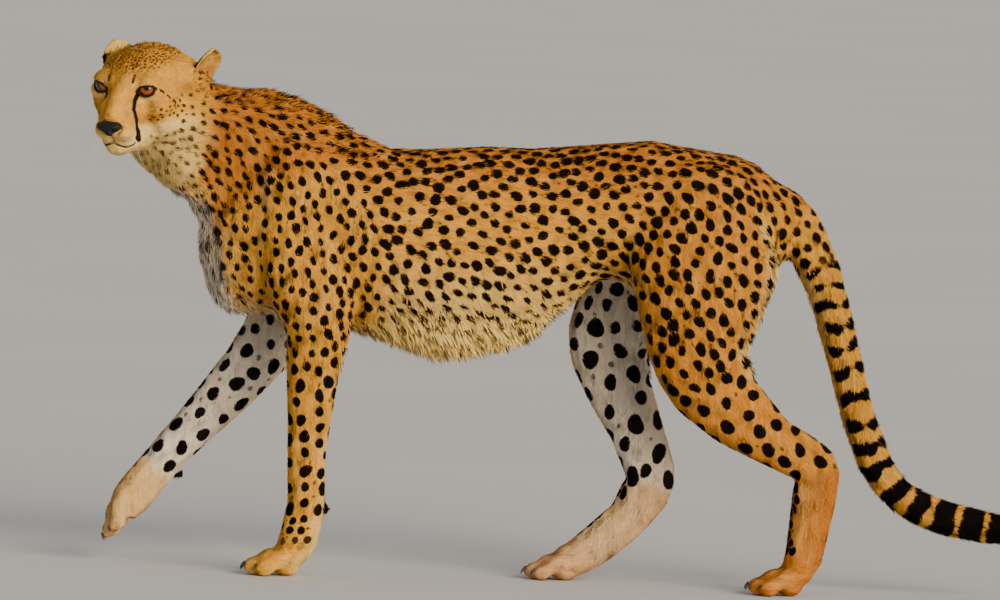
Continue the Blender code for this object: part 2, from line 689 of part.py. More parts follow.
def level_soles(body, tools):
    """Cut the flesh flat at the floor."""
    bm = bmesh.new()
    bmesh.ops.create_cube(bm, size=2.0)
    bmesh.ops.translate(bm, verts=bm.verts, vec=(0.4, 0.0, SOLE - 1.0))
    subtract(body, cutter(mesh_from_bmesh(bm, "floor"), "cut_floor", tools))


def claws(pieces, parts, tools):
    for paw, *pose in FEET:
        for i, place in enumerate(claw_places(paw_place(*pose))):
            name = f"claw_{paw}_{i + 1}"
            tool = cutter(transformed(claw_mesh(SEAT), place), "cut_" + name, tools)
            subtract(pieces[paw], tool)
            pieces[name] = object_from(transformed(claw_mesh(), place), name, parts)


def face(pieces, parts, tools):
    head = pieces["head"]
    for side, sign in (("left", 1), ("right", -1)):
        name = "eye_" + side
        subtract(head, cutter(eye_mesh(sign, SEAT), "cut_" + name, tools))
        subtract(head, cutter(eyelid_opening(sign), "cut_lids_" + side, tools))
        pieces[name] = object_from(eye_mesh(sign, 0.0), name, parts)
        name = "ear_" + side
        tool = ear("cut_" + name, sign, EAR_SEAT, tools)
        tool.hide_render = True
        tool.display_type = "WIRE"
        subtract(head, tool)
        pieces[name] = ear(name, sign, 0.0, parts)
    subtract(head, cutter(nose_mesh(SEAT), "cut_nose", tools))
    pieces["nose"] = object_from(nose_mesh(0.0), "nose", parts)


def finish_materials(pieces):
    for name, thing in pieces.items():
        kind, roughness = "coat", 0.85
        if name.startswith("eye"):
            kind, roughness = "eye", 0.10
        elif name.startswith("nose"):
            kind, roughness = "leather", 0.45
        elif name.startswith("claw"):
            kind, roughness = "horn", 0.35
        thing.data.materials.clear()
        thing.data.materials.append(material(kind, roughness))
        thing.data.shade_smooth()


def centre_on_floor(pieces):
    """Put the origin in the middle of the model's box, on the floor."""
    points = np.array([v.co for thing in pieces.values() for v in thing.data.vertices])
    low, high = points.min(axis=0), points.max(axis=0)
    shift = Matrix.Translation((-(low[0] + high[0]) / 2, -(low[1] + high[1]) / 2, -low[2]))
    for thing in pieces.values():
        thing.data.transform(shift)


def main():
    clear_scene()
    parts = new_collection("cheetah")
    tools = new_collection("cutters")
    body = flesh(parts)
    level_soles(body, tools)
    pieces = parted(body, parts, tools)
    face(pieces, parts, tools)
    claws(pieces, parts, tools)
    finish_materials(pieces)
    centre_on_floor(pieces)


main()
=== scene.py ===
"""Looks of the walking cheetah: skin, markings, coat, eyes, ears, nose and whiskers round the CAD."""

from math import cos, pi, radians, sin

import bmesh
import bpy
import numpy as np
from mathutils import Matrix, Vector
from mathutils.kdtree import KDTree


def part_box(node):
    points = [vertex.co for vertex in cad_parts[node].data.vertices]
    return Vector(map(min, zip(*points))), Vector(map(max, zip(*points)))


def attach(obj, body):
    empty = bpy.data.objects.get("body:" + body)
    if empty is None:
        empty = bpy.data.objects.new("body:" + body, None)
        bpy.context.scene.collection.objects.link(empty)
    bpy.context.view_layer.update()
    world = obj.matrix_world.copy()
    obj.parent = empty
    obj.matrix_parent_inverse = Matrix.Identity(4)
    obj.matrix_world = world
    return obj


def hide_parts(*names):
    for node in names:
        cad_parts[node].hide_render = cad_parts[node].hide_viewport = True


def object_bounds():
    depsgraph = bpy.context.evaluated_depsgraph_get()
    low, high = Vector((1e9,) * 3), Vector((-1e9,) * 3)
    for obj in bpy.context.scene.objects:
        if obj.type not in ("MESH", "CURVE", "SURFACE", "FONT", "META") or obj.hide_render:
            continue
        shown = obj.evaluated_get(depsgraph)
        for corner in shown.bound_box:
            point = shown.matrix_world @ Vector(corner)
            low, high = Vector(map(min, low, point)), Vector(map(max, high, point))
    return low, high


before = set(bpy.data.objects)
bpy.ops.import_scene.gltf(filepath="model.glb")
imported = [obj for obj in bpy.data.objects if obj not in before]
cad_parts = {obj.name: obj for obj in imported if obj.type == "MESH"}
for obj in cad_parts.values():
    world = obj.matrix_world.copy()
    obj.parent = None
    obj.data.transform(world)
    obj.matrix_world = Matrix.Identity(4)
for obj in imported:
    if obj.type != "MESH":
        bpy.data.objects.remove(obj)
cad_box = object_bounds()
rng = np.random.default_rng(7)

# ---------------------------------------------------------------- places
# The study frame has x = 0 at the near fore foot, y = 0 in the plane through the spine, z up.
EYES_IN_STUDY = np.array((-0.2576, -0.1261, 0.7585))   # midway between the eyeballs
HEAD_YAW, HEAD_PITCH, HEAD_ROLL = radians(26), radians(17), radians(-2)
EYE_SEAT = np.array((-0.0105, 0.0360, 0.0005))         # eyeball in head coordinates
EYE_RADIUS = 0.0168

SIDES = {"left": 1, "right": -1}
TAIL = ["tail_1", "tail_2", "tail_3", "tail_4"]
LIMBS = {"fore": ("arm", "forearm", "forepaw"), "hind": ("thigh", "shank", "metatarsus", "hindpaw")}
PAIRED = ["arm", "thigh", "forearm", "shank", "metatarsus", "forepaw", "hindpaw", "ear"]
FLESH = ["head", "neck", "trunk"] + TAIL + [f"{part}_{side}" for part in PAIRED for side in SIDES]
SKIN_VOXEL = 0.0036


def unit(v):
    """Vectors scaled to length 1."""
    return v / np.maximum(np.linalg.norm(v, axis=-1, keepdims=True), 1e-12)


def smoothstep(low, high, x):
    """0 at low, 1 at high and smooth between; low may be the larger."""
    t = np.clip((x - low) / (high - low), 0.0, 1.0)
    return t * t * (3 - 2 * t)


def box_centre(name):
    low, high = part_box(name)
    return (np.array(low) + np.array(high)) / 2


eyes_middle = (box_centre("eye_left") + box_centre("eye_right")) / 2
STUDY = eyes_middle - EYES_IN_STUDY          # add to a study point to get a frame point

forward = np.array((-sin(HEAD_YAW) * cos(HEAD_PITCH), -cos(HEAD_YAW) * cos(HEAD_PITCH),
                    -sin(HEAD_PITCH)))
leftward = np.array((cos(HEAD_YAW), -sin(HEAD_YAW), 0.0))
HEAD_AXES = np.stack([forward, leftward, np.cross(forward, leftward)], axis=1)
HEAD_AXES = HEAD_AXES @ np.array(Matrix.Rotation(HEAD_ROLL, 3, "X"))
HEAD_AT = eyes_middle - HEAD_AXES @ (EYE_SEAT * (1, 0, 1))


def to_head(points):
    """Head coordinates: forward out of the nose, to the animal's left, up."""
    return (points - HEAD_AT) @ HEAD_AXES


def from_head(points):
    return np.asarray(points) @ HEAD_AXES.T + HEAD_AT


# ---------------------------------------------------------------- mesh helpers
def arrays(mesh):
    """Vertices and triangles of a mesh."""
    mesh.calc_loop_triangles()
    points = np.empty(3 * len(mesh.vertices), np.float32)
    mesh.vertices.foreach_get("co", points)
    faces = np.empty(3 * len(mesh.loop_triangles), np.int32)
    mesh.loop_triangles.foreach_get("vertices", faces)
    return points.reshape(-1, 3).astype(float), faces.reshape(-1, 3)


def edges_of(mesh):
    edges = np.empty(2 * len(mesh.edges), np.int32)
    mesh.edges.foreach_get("vertices", edges)
    return edges.reshape(-1, 2)


def mesh_of(points, faces, name):
    """A mesh from arrays whose faces all have the same number of corners."""
    mesh = bpy.data.meshes.new(name)
    count, corners = faces.shape
    mesh.vertices.add(len(points))
    mesh.vertices.foreach_set("co", np.asarray(points, np.float32).ravel())
    mesh.loops.add(count * corners)
    mesh.loops.foreach_set("vertex_index", faces.astype(np.int32).ravel())
    mesh.polygons.add(count)
    mesh.polygons.foreach_set("loop_start", np.arange(0, count * corners, corners, dtype=np.int32))
    mesh.update(calc_edges=True)
    mesh.shade_smooth()
    return mesh


def set_points(mesh, points):
    mesh.vertices.foreach_set("co", np.asarray(points, np.float32).ravel())
    mesh.update()


def object_of(mesh, name):
    thing = bpy.data.objects.new(name, mesh)
    bpy.context.scene.collection.objects.link(thing)
    return thing


def add_number(mesh, name, values):
    layer = mesh.attributes.new(name, "FLOAT", "POINT")
    layer.data.foreach_set("value", np.asarray(values, np.float32))


def normals_of(points, faces):
    a, b, c = (points[faces[:, k]] for k in range(3))
    face = np.cross(b - a, c - a)
    total = np.zeros_like(points)
    for k in range(3):
        for axis in range(3):
            total[:, axis] += np.bincount(faces[:, k], face[:, axis], len(points))
    return unit(total)


class Net:
    """The edges of a surface, for averaging over neighbours."""

    def __init__(self, mesh):
        self.count = len(mesh.vertices)
        self.a, self.b = edges_of(mesh).T
        ends = np.concatenate([self.a, self.b])
        self.degree = np.maximum(np.bincount(ends, minlength=self.count), 1)

    def mean(self, values):
        """Average over each vertex's neighbours."""
        if values.ndim == 2:
            return np.stack([self.mean(values[:, k]) for k in range(values.shape[1])], axis=1)
        total = np.bincount(self.a, values[self.b], self.count)
        total += np.bincount(self.b, values[self.a], self.count)
        return total / self.degree

    def eased(self, values, times):
        """Values blurred over the surface."""
        for _ in range(times):
            values = 0.5 * values + 0.5 * self.mean(values)
        return values


def cad_samples(names, spacing):
    """Random points over CAD nodes, with the index of each point's node in FLESH."""
    points, labels = [], []
    for name in names:
        vertices, faces = arrays(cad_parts[name].data)
        a, b, c = (vertices[faces[:, k]] for k in range(3))
        area = 0.5 * np.linalg.norm(np.cross(b - a, c - a), axis=1)
        count = int(area.sum() / spacing ** 2) + 8
        pick = rng.choice(len(faces), count, p=area / area.sum())
        u, v = rng.random((2, count, 1))
        turn = u + v > 1
        u, v = np.where(turn, 1 - u, u), np.where(turn, 1 - v, v)
        points.append(a[pick] + u * (b - a)[pick] + v * (c - a)[pick])
        labels.append(np.full(count, FLESH.index(name)))
    return np.concatenate(points), np.concatenate(labels)


def tree_of(points):
    tree = KDTree(len(points))
    for i, p in enumerate(points.tolist()):
        tree.insert(p, i)
    tree.balance()
    return tree


def nearest(sources, points):
    """Index of the source point nearest to each point."""
    tree = tree_of(sources)
    return np.array([tree.find(p)[1] for p in points.tolist()])


# ---------------------------------------------------------------- the ears' own axes
EAR_AT = {1: (-0.116, 0.075, -0.016), -1: (-0.112, 0.062, -0.016)}
EAR_HEIGHT, EAR_HALF_WIDTH = 0.057, 0.029
EAR_PAD_AT, EAR_PAD = np.array((-0.117, 0.075, -0.023)), (0.021, 0.018, 0.017)   # flesh under each ear
EAR_LEAN = {1: 36, -1: 14}
EAR_TURN = {1: 72, -1: 128}


def ear_axes(sign):
    """Columns: out of the cup's mouth, across it, and up to its tip, in head coordinates."""
    lean = Matrix.Rotation(-sign * radians(EAR_LEAN[sign]), 3, "X")
    turn = Matrix.Rotation(sign * radians(EAR_TURN[sign]), 3, "Z")
    return np.array(lean @ turn)


# ---------------------------------------------------------------- the skin
def remeshed():
    """Flesh, eyeballs and nose of the CAD as one closed surface of even quads."""
    bm = bmesh.new()
    for name in FLESH + ["eye_left", "eye_right", "nose"]:
        bm.from_mesh(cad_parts[name].data)
    for sign in SIDES.values():
        at = Vector(from_head(EAR_PAD_AT * (1, sign, 1)))
        pad = Matrix.LocRotScale(at, Matrix(HEAD_AXES), Vector(EAR_PAD))
        bmesh.ops.create_icosphere(bm, subdivisions=4, radius=1.0, matrix=pad)
    mesh = bpy.data.meshes.new("skin")
    bm.to_mesh(mesh)
    bm.free()
    thing = object_of(mesh, "source")
    grid = thing.modifiers.new("grid", "REMESH")
    grid.mode = "VOXEL"
    grid.voxel_size = SKIN_VOXEL
    result = bpy.data.meshes.new_from_object(thing.evaluated_get(bpy.context.evaluated_depsgraph_get()))
    bpy.data.objects.remove(thing)
    return result


def steady(points, net, weight, rounds):
    """Smoothing that takes out facets but keeps the volume."""
    weight = weight[:, None]
    for _ in range(rounds):
        points = points + 0.50 * weight * (net.mean(points) - points)
        points = points - 0.53 * weight * (net.mean(points) - points)
    return points


def divided(mesh, wanted):
    """The mesh with every face whose corners are all wanted cut in four."""
    bm = bmesh.new()
    bm.from_mesh(mesh)
    bm.verts.ensure_lookup_table()
    edges = [e for e in bm.edges if wanted[e.verts[0].index] and wanted[e.verts[1].index]]
    bmesh.ops.subdivide_edges(bm, edges=edges, cuts=1, use_grid_fill=True)
    bm.to_mesh(mesh)
    bm.free()
    return mesh


def fine_zone(points, level):
    """Where the skin needs smaller faces: face and ears at level 0, muzzle and eyes at level 1."""
    q = to_head(points)
    if level == 0:
        ear = np.minimum(*(np.linalg.norm(q - np.array(EAR_AT[k]) * (1, k, 1) - (0, 0.016 * k, 0.024), axis=1)
                           for k in (1, -1)))
        return (np.linalg.norm(q - (-0.01, 0, -0.025), axis=1) < 0.090) | (ear < 0.040)
    muzzle = np.linalg.norm(q - (0.045, 0, -0.06), axis=1) < 0.042
    eye = np.linalg.norm(np.abs(q) * (0, 1, 1) + q * (1, 0, 0) - (-0.004, 0.041, 0.0), axis=1) < 0.026
    return muzzle | eye


def by_label(table, default):
    """A value for each vertex from its node's name or the first word of that name."""
    values = np.array([table.get(name, table.get(name.split("_")[0], default)) for name in FLESH])
    return values[label].astype(float)


def on(*starts):
    """Which vertices belong to nodes whose names start with one of these words."""
    return np.any([np.char.startswith(named, start) for start in starts], axis=0)


def soft_zone(times, *starts):
    """1 on those nodes and 0 elsewhere, blurred over their borders."""
    return net.eased(on(*starts) * 1.0, times)


samples, sample_labels = cad_samples(FLESH, 0.005)
skin_mesh = remeshed()
P, _ = arrays(skin_mesh)
label = sample_labels[nearest(samples, P)]
net = Net(skin_mesh)
FIRM = {"head": 0.16, "ear": 0.05, "forepaw": 0.22, "hindpaw": 0.22}       # smoothed less than the rest
P = steady(P, net, net.eased(by_label(FIRM, 1.0), 12), 70)
set_points(skin_mesh, P)
for level in (0, 1):
    skin_mesh = divided(skin_mesh, fine_zone(arrays(skin_mesh)[0], level))
P, F = arrays(skin_mesh)
net = Net(skin_mesh)
P = steady(P, net, fine_zone(P, 0) * 0.9, 8)
label = sample_labels[nearest(samples, P)]
named = np.array(FLESH)[label]
Q = to_head(P)
S = P - STUDY

# ---------------------------------------------------------------- zones of the skin
N = normals_of(P, F)
is_head, is_neck, is_trunk, is_tail = (soft_zone(25, name) for name in ("head", "neck", "trunk", "tail"))
is_ear, is_paw = soft_zone(6, "ear"), soft_zone(12, "forepaw", "hindpaw")
body = np.clip(is_trunk + is_neck, 0, 1)
over = smoothstep(0.35, 0.85, N[:, 2])
belly = is_trunk * smoothstep(-0.02, 0.14, S[:, 0]) * (1 - smoothstep(0.46, 0.62, S[:, 0]))
belly = belly * smoothstep(0.455, 0.395, S[:, 2]) * smoothstep(-0.25, 0.35, -N[:, 2])
nape = body * over * smoothstep(0.16, 0.02, S[:, 0]) * smoothstep(-0.20, -0.13, S[:, 0])
chest = body * smoothstep(0.02, -0.06, S[:, 0]) * smoothstep(0.3, 0.8, -N[:, 0] - 0.6 * N[:, 2])
outward = np.where(np.char.endswith(named, "left"), -1.0, 1.0)
inner = net.eased(on(*LIMBS["fore"], *LIMBS["hind"]) * smoothstep(0.15, -0.45, N[:, 1] * outward), 6)

DEPTH = {"head": 0.0014, "ear": 0.0012, "neck": 0.0060, "trunk": 0.0050, "tail": 0.0055, "arm": 0.0045,
         "forearm": 0.0032, "forepaw": 0.0016, "thigh": 0.0045, "shank": 0.0034,
         "metatarsus": 0.0026, "hindpaw": 0.0016}
depth = net.eased(by_label(DEPTH, 0.004), 25)         # the skin lies this far inside the solids
depth = depth + 0.010 * belly + 0.006 * nape + 0.003 * chest
depth = depth + 0.0022 * is_head * smoothstep(0.025, 0.045, Q[:, 2])
P = P - N * depth[:, None]


# ---------------------------------------------------------------- the face
LID_TURN = radians(23)          # how far the opening of an eye faces outwards
LID_AXIS = np.array((cos(LID_TURN), sin(LID_TURN), 0.0))
LID_SIDE = np.array((-sin(LID_TURN), cos(LID_TURN), 0.0))
LID_HALF_WIDTH = 0.0138
LID_THICKNESS = 0.0013
NOSE_AT = np.array((0.0545, 0.0, -0.0455))
NOSE_RADII = np.array((0.0115, 0.0195, 0.0125))
MOUTH = [(0.0485, 0.000, -0.0715), (0.0460, 0.008, -0.0760), (0.0395, 0.0185, -0.0810),
         (0.0330, 0.0255, -0.0800), (0.0280, 0.0298, -0.0762)]
PHILTRUM = [(0.0560, 0.000, -0.0560), (0.0520, 0.000, -0.0640), (0.0485, 0.000, -0.0715)]
TEAR = [(0.0060, 0.0270, -0.0010), (0.0060, 0.0265, -0.0060), (0.0150, 0.0270, -0.0110),
        (0.0250, 0.0290, -0.0230), (0.0230, 0.0300, -0.0350), (0.0200, 0.0305, -0.0460),
        (0.0165, 0.0315, -0.0590), (0.0205, 0.0325, -0.0680)]
MOUTH_SPOT = [(0.0235, 0.0322, -0.0690), (0.0215, 0.0335, -0.0725)]
GROOVES = [(MOUTH, 0.0013, 0.0017), (PHILTRUM, 0.0013, 0.0022), (TEAR, 0.0040, 0.0012)]   # line, width, depth
SWELLS = [((0.042, 0.017, -0.062), 0.013, 0.0016),            # whisker pad: centre, reach, height
          ((0.034, 0.006, -0.090), 0.012, 0.0010),            # chin
          ((0.000, 0.033, 0.019), 0.012, 0.0010)]             # brow
BROW = [(0.0060, 0.0205, 0.0145), (-0.0050, 0.0215, 0.0325)]
TEMPLE = [[(-0.0095, 0.0600, 0.0010), (-0.0150, 0.0640, -0.0050)],
          [(-0.0230, 0.0665, -0.0120), (-0.0280, 0.0675, -0.0170)],
          [(-0.0340, 0.0680, -0.0230), (-0.0430, 0.0680, -0.0310)]]


def lid_curves(x):
    """Heights of the upper and lower lid's edge at x across the opening."""
    t = np.clip(x / LID_HALF_WIDTH, -1, 1)
    base = 0.0014 + 0.0010 * t
    bow = np.sqrt(np.clip(1 - t * t, 0, 1))
    return base + 0.0066 * bow * (1 - 0.12 * t), base - 0.0090 * bow ** 1.15


def eye_plane(q, sign):
    """Position across, up and out of an eye's opening, measured from the eyeball's centre."""
    d = q * (1, sign, 1) - EYE_SEAT
    return d @ LID_SIDE, d[..., 2], d @ LID_AXIS


def inside_lids(x, y):
    """Distance in from the lids' edge; negative outside."""
    top, low = lid_curves(x)
    span = LID_HALF_WIDTH - np.abs(x)
    gap = np.minimum(top - y, y - low)
    return np.where(span > 0, np.minimum(gap, 1.5 * span), -np.hypot(span, y - (top + low) / 2))


def line_distance(points, line, normals=None):
    """Distance to a polyline and how far along it the nearest place is, 0 to 1.

    With normals given, height over or under the skin counts for little."""
    line = np.array(line)
    best, place = np.full(len(points), 1e9), np.zeros(len(points))
    for k in range(len(line) - 1):
        a, d = line[k], line[k + 1] - line[k]
        t = np.clip((points - a) @ d / (d @ d), 0, 1)
        away = points - a - t[:, None] * d
        if normals is not None:
            away = away - 0.8 * normals * (away * normals).sum(axis=1, keepdims=True)
        gap = np.linalg.norm(away, axis=1)
        closer = gap < best
        best = np.where(closer, gap, best)
        place = np.where(closer, (k + t) / (len(line) - 1), place)
    return best, place


def mirrored(q):
    """Places of the right half of the head moved to the left half."""
    return q * (1, 0, 1) + np.abs(q) * (0, 1, 0)


def mirrored_normals(q, n):
    """Their normals, moved likewise."""
    return n * np.stack([np.ones(len(q)), np.where(q[:, 1] < 0, -1, 1), np.ones(len(q))], axis=1)


def sculpt_face(p):
    """Eyelids, mouth, philtrum, tear line, whisker pads, chin and brow."""
    q = to_head(p)
    n = N @ HEAD_AXES
    near = is_head > 0.5
    # lids lie on the eyeball; inside their edge the skin drops behind it
    for sign in SIDES.values():
        x, y, out = eye_plane(q, sign)
        d = q * (1, sign, 1) - EYE_SEAT
        radius = np.linalg.norm(d, axis=1)
        open_by = inside_lids(x, y)
        front = near & (out > 0.002) & (radius < 0.034)
        close = (1 - smoothstep(0.002, 0.011, -open_by)) * front
        lid = EYE_RADIUS + LID_THICKNESS + 0.0012 * smoothstep(0.001, 0.006, -open_by)
        target = lid + (EYE_RADIUS - 0.004 - lid) * smoothstep(-0.0003, 0.0009, open_by)
        new = radius + (target - radius) * close
        d = d * (new / np.maximum(radius, 1e-6))[:, None]
        q = np.where(front[:, None], (d + EYE_SEAT) * (1, sign, 1), q)
    # grooves of the mouth and philtrum, and the hollow that the tear line runs in
    m, across = mirrored(q), mirrored_normals(q, n)
    for line, width, deep in GROOVES:
        gap, _ = line_distance(m, line, across)
        q = q - n * (deep * np.exp(-(gap / width) ** 2) * near)[:, None]
    for centre, reach, high in SWELLS:
        gap = np.linalg.norm(m - centre, axis=1)
        q = q + n * (high * np.exp(-(gap / reach) ** 2) * near)[:, None]
    # the skin stays under the leather of the nose
    leather = np.linalg.norm((q - NOSE_AT) / NOSE_RADII, axis=1)
    q = q - n * (0.0030 * (1 - smoothstep(1.0, 1.22, leather)) * near)[:, None]
    return np.where(near[:, None], from_head(q), p)


HOCK_GROOVE = [(0.771, 0.0, 0.277), (0.812, 0.0, 0.244), (0.840, 0.0, 0.219), (0.843, 0.0, 0.161)]
NEAR_HOCK = ["shank_left", "metatarsus_left"]


def sculpt_hock(p):
    """The hollow between the tendon and the bones of the hock that stands nearer the viewer."""
    s = p - STUDY
    gap, place = line_distance(s * (1, 0, 1), HOCK_GROOVE)
    leg = np.isin(named, NEAR_HOCK)
    deep = 0.0045 * smoothstep(0.0, 0.35, place) * smoothstep(1.0, 0.75, place) * np.exp(-(gap / 0.0065) ** 2)
    return p - N * (deep * leg * smoothstep(0.3, 0.8, np.abs(N[:, 1])))[:, None]


P = sculpt_hock(sculpt_face(P))
set_points(skin_mesh, P)
N = normals_of(P, F)
Q, S = to_head(P), P - STUDY
M = mirrored(Q)


def fold_shade_and_tone_of():
    """Painted shade in folds, between forms and along the near hock's groove, with a darker tone on the head,
    the top of the neck and the backs of the hind feet, 0 to 1; the coat is darkened by this.
    """
    sunk = sum((net.eased(P[:, k], 12) - P[:, k]) * N[:, k] for k in range(3))
    # painted shade where the skin sinks below its neighbours
    value = np.clip((sunk - 0.0001) / 0.0008, 0, 1)
    value = net.eased(value * np.clip(2.2 * is_paw + 0.7 * is_head + is_ear + on("metatarsus"), 0, 2.2), 3)
    # a darker tone down the backs of the metatarsi
    value = np.clip(value + 0.40 * on("metatarsus") * smoothstep(-0.4, 0.5, N[:, 0]), 0, 1)
    groove, _ = line_distance(S * (1, 0, 1), HOCK_GROOVE)
    # painted shade along the groove of the near hock
    hock_groove_shade = np.exp(-(groove / 0.0055) ** 2) * smoothstep(0.3, 0.8, np.abs(N[:, 1])) * np.isin(named, NEAR_HOCK)
    value = np.clip(value + 0.75 * hock_groove_shade + 0.14 * is_head * (1 - is_ear), 0, 1)
    return net.eased(np.clip(value + 0.18 * is_neck * smoothstep(-0.1, 0.5, N[:, 2]), 0, 1), 2)


fold_shade_and_tone = fold_shade_and_tone_of()
rise, hollow = np.zeros(len(P)), np.zeros(len(P))     # how high on an ear, and how far inside its cup
for side, sign in SIDES.items():
    axes = ear_axes(sign)
    place = (Q - np.array(EAR_AT[sign]) * (1, sign, 1)) @ axes
    facing = N @ HEAD_AXES @ axes
    mask = named == f"ear_{side}"
    rise[mask] = (place[mask, 2] + 0.004) / EAR_HEIGHT
    inward = smoothstep(1.02, 0.86, np.abs(place[mask, 1]) / EAR_HALF_WIDTH)
    hollow[mask] = smoothstep(-0.05, 0.35, facing[mask, 0]) * inward

# ---------------------------------------------------------------- the lie of the coat
LIMB_NODES = {f"{end}_{side}": [f"{part}_{side}" for part in parts]
              for end, parts in LIMBS.items() for side in SIDES}
centre_of = {name: P[named == name].mean(axis=0) for name in FLESH}


def lie_of_coat():
    """Direction of the hair in the skin's plane, from nose to tail and down the limbs."""
    aim = np.zeros_like(P)
    aim[:] = (1.0, 0.0, -0.12)
    aim[:, 2] -= 1.0 * smoothstep(0.62, 0.40, S[:, 2])
    front = smoothstep(0.10, -0.06, S[:, 0])[:, None]
    aim = aim * (1 - front) + front * (0.45, 0.0, -0.85)
    rump = smoothstep(0.66, 0.78, S[:, 0])[:, None]
    aim = aim * (1 - rump) + rump * (0.5, 0.0, -0.9)
    neck = (named == "neck")[:, None]
    top = smoothstep(0.2, 0.8, N[:, 2])[:, None]
    aim = np.where(neck, top * (0.95, 0.12, -0.10) + (1 - top) * (0.62, 0.10, -0.70), aim)
    for chain in (*LIMB_NODES.values(), TAIL):
        for i, name in enumerate(chain):
            ahead = centre_of[chain[min(i + 1, len(chain) - 1)]]
            behind = centre_of[chain[max(i - 1, 0)]]
            mask = named == name
            aim[mask] = ahead - behind
            if i == 0:
                aim[mask] = unit(ahead - behind) * 0.75 + (0.20, 0.0, -0.25)
            if name.split("_")[0] in ("forepaw", "hindpaw"):
                low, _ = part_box(f"claw_{name}_1")
                aim[mask] = unit(np.array(low) - centre_of[name]) * 0.9 + (-0.3, 0.0, 0.0)
    head = (named == "head")[:, None]
    away = unit(M - (0.075, 0.0, -0.030))
    away = away * np.stack([np.ones(len(P)), np.sign(Q[:, 1]), np.ones(len(P))], axis=1)
    drop = smoothstep(-0.03, -0.08, Q[:, 0])[:, None] * (0, 0, -0.5)
    aim = np.where(head, (away + drop) @ HEAD_AXES.T, aim)
    for side, sign in SIDES.items():
        aim[named == f"ear_{side}"] = HEAD_AXES @ ear_axes(sign)[:, 2]
    aim = unit(aim)
    for _ in range(40):
        aim = aim - N * (aim * N).sum(axis=1, keepdims=True)
        aim = unit(0.4 * aim + 0.6 * net.mean(aim) + 1e-9)
    aim = aim - N * (aim * N).sum(axis=1, keepdims=True)
    return unit(aim)


FLOW = lie_of_coat()
ACROSS = np.cross(N, FLOW)

# ---------------------------------------------------------------- markings
TAIL_LINE = np.array([(0.770, 0, 0.610), (0.800, 0, 0.571), (0.836, 0, 0.500), (0.862, 0, 0.425),
                      (0.884, 0, 0.345), (0.907, 0, 0.268), (0.937, 0, 0.200), (0.978, 0, 0.155),
                      (1.040, 0, 0.128), (1.105, 0, 0.114), (1.160, 0, 0.111), (1.200, 0, 0.115)])
# Place along the tail (m), half width (mm), and how far the band is still a pair of spots.
TAIL_BANDS = [(0.090, 7.5, 1), (0.121, 7.5, 1), (0.149, 6.0, 1), (0.178, 8.5, 1), (0.212, 9.5, 0.8),
              (0.246, 9.0, 1), (0.284, 9.5, 1), (0.327, 10.5, 0.6), (0.373, 10.5, 1), (0.408, 11, 0.7),
              (0.444, 11, 0.3), (0.492, 13, 0), (0.533, 14, 0), (0.577, 17, 0), (0.622, 18, 0),
              (0.664, 17, 0), (0.703, 17, 0)]
TAIL_WHITE = 0.722           # from here on the tip is white

# Half width and spacing (m) of the spots on each length of the legs.
LIMB_SPOTS = [("thigh", 0.0089, 0.0202), ("forearm", 0.0090, 0.0225), ("arm", 0.0072, 0.0178),
              ("shank", 0.0108, 0.0275), ("metatarsus", 0.0075, 0.0135)]


def spot_rules():
    """Half width (m), least spacing (m), elongation and strength of the spots at each vertex."""
    lower_flank = is_trunk * smoothstep(0.50, 0.43, S[:, 2])
    back = is_trunk * smoothstep(0.35, 0.9, N[:, 2])
    front = smoothstep(0.10, -0.06, S[:, 0]) * np.clip(body + on("arm"), 0, 1)
    half = 0.0083 - 0.0013 * lower_flank + 0.0002 * back - 0.0015 * front
    gap = 0.0188 - 0.0018 * back - 0.0026 * front
    long = 1.04 + 0.50 * lower_flank + 0.20 * is_neck
    strength = 1 - 0.35 * belly * smoothstep(0.42, 0.37, S[:, 2]) - 0.10 * chest
    half = half * (1 - is_neck) + 0.0063 * is_neck
    gap = gap * (1 - is_neck) + 0.0148 * is_neck
    for start, wide, apart in LIMB_SPOTS:
        part = on(start)
        half, gap = np.where(part, wide, half), np.where(part, apart, gap)
        long = np.where(part, 1.18, long)
    far = inner > 0.4
    half, gap = np.where(far, half * 1.18, half), np.where(far, gap * 1.36, gap)
    strength = np.where(on("metatarsus"), (-N[:, 0] > 0.62) * 1.0, strength)
    fore = on("forepaw")
    half, gap = np.where(fore, 0.0058, half), np.where(fore, 0.0148, gap)
    strength = np.where(fore, smoothstep(0.040, 0.062, S[:, 2]) * (1 - inner) * (N[:, 0] < 0.30), strength)
    strength = np.where(on("hindpaw"), 0.0, strength)
    ahead, aside, up = M.T
    crown = smoothstep(0.018, 0.032, up) * smoothstep(0.060, 0.044, aside) * smoothstep(0.012, -0.004, ahead)
    low = smoothstep(-0.020, -0.030, up) * smoothstep(0.004, -0.012, ahead)
    dots = low * smoothstep(-0.064, -0.054, up) * smoothstep(-0.075, -0.055, ahead)
    behind = smoothstep(-0.085, -0.110, ahead) * smoothstep(0.012, -0.006, up)
    large = np.maximum(behind, low * (1 - dots))
    face = is_head > 0.5
    half = np.where(face, 0.0021 + 0.0005 * crown + 0.0007 * low + 0.0018 * large, half)
    gap = np.where(face, 0.0052 + 0.0026 * low + 0.0048 * large, gap)
    on_face = np.maximum(0.88 * crown, 0.92 * np.maximum(low, behind))
    strength = np.where(face, np.clip(on_face, 0, 1), strength)
    clear = np.exp(-(((ahead + 0.020) / 0.027) ** 2 + ((up + 0.063) / 0.014) ** 2) ** 2)
    strength = strength * (1 - face * (clear > 0.4))
    strength = strength * (is_ear < 0.3) * (1 - smoothstep(0.5, 0.9, is_tail))
    return half, gap, long, strength


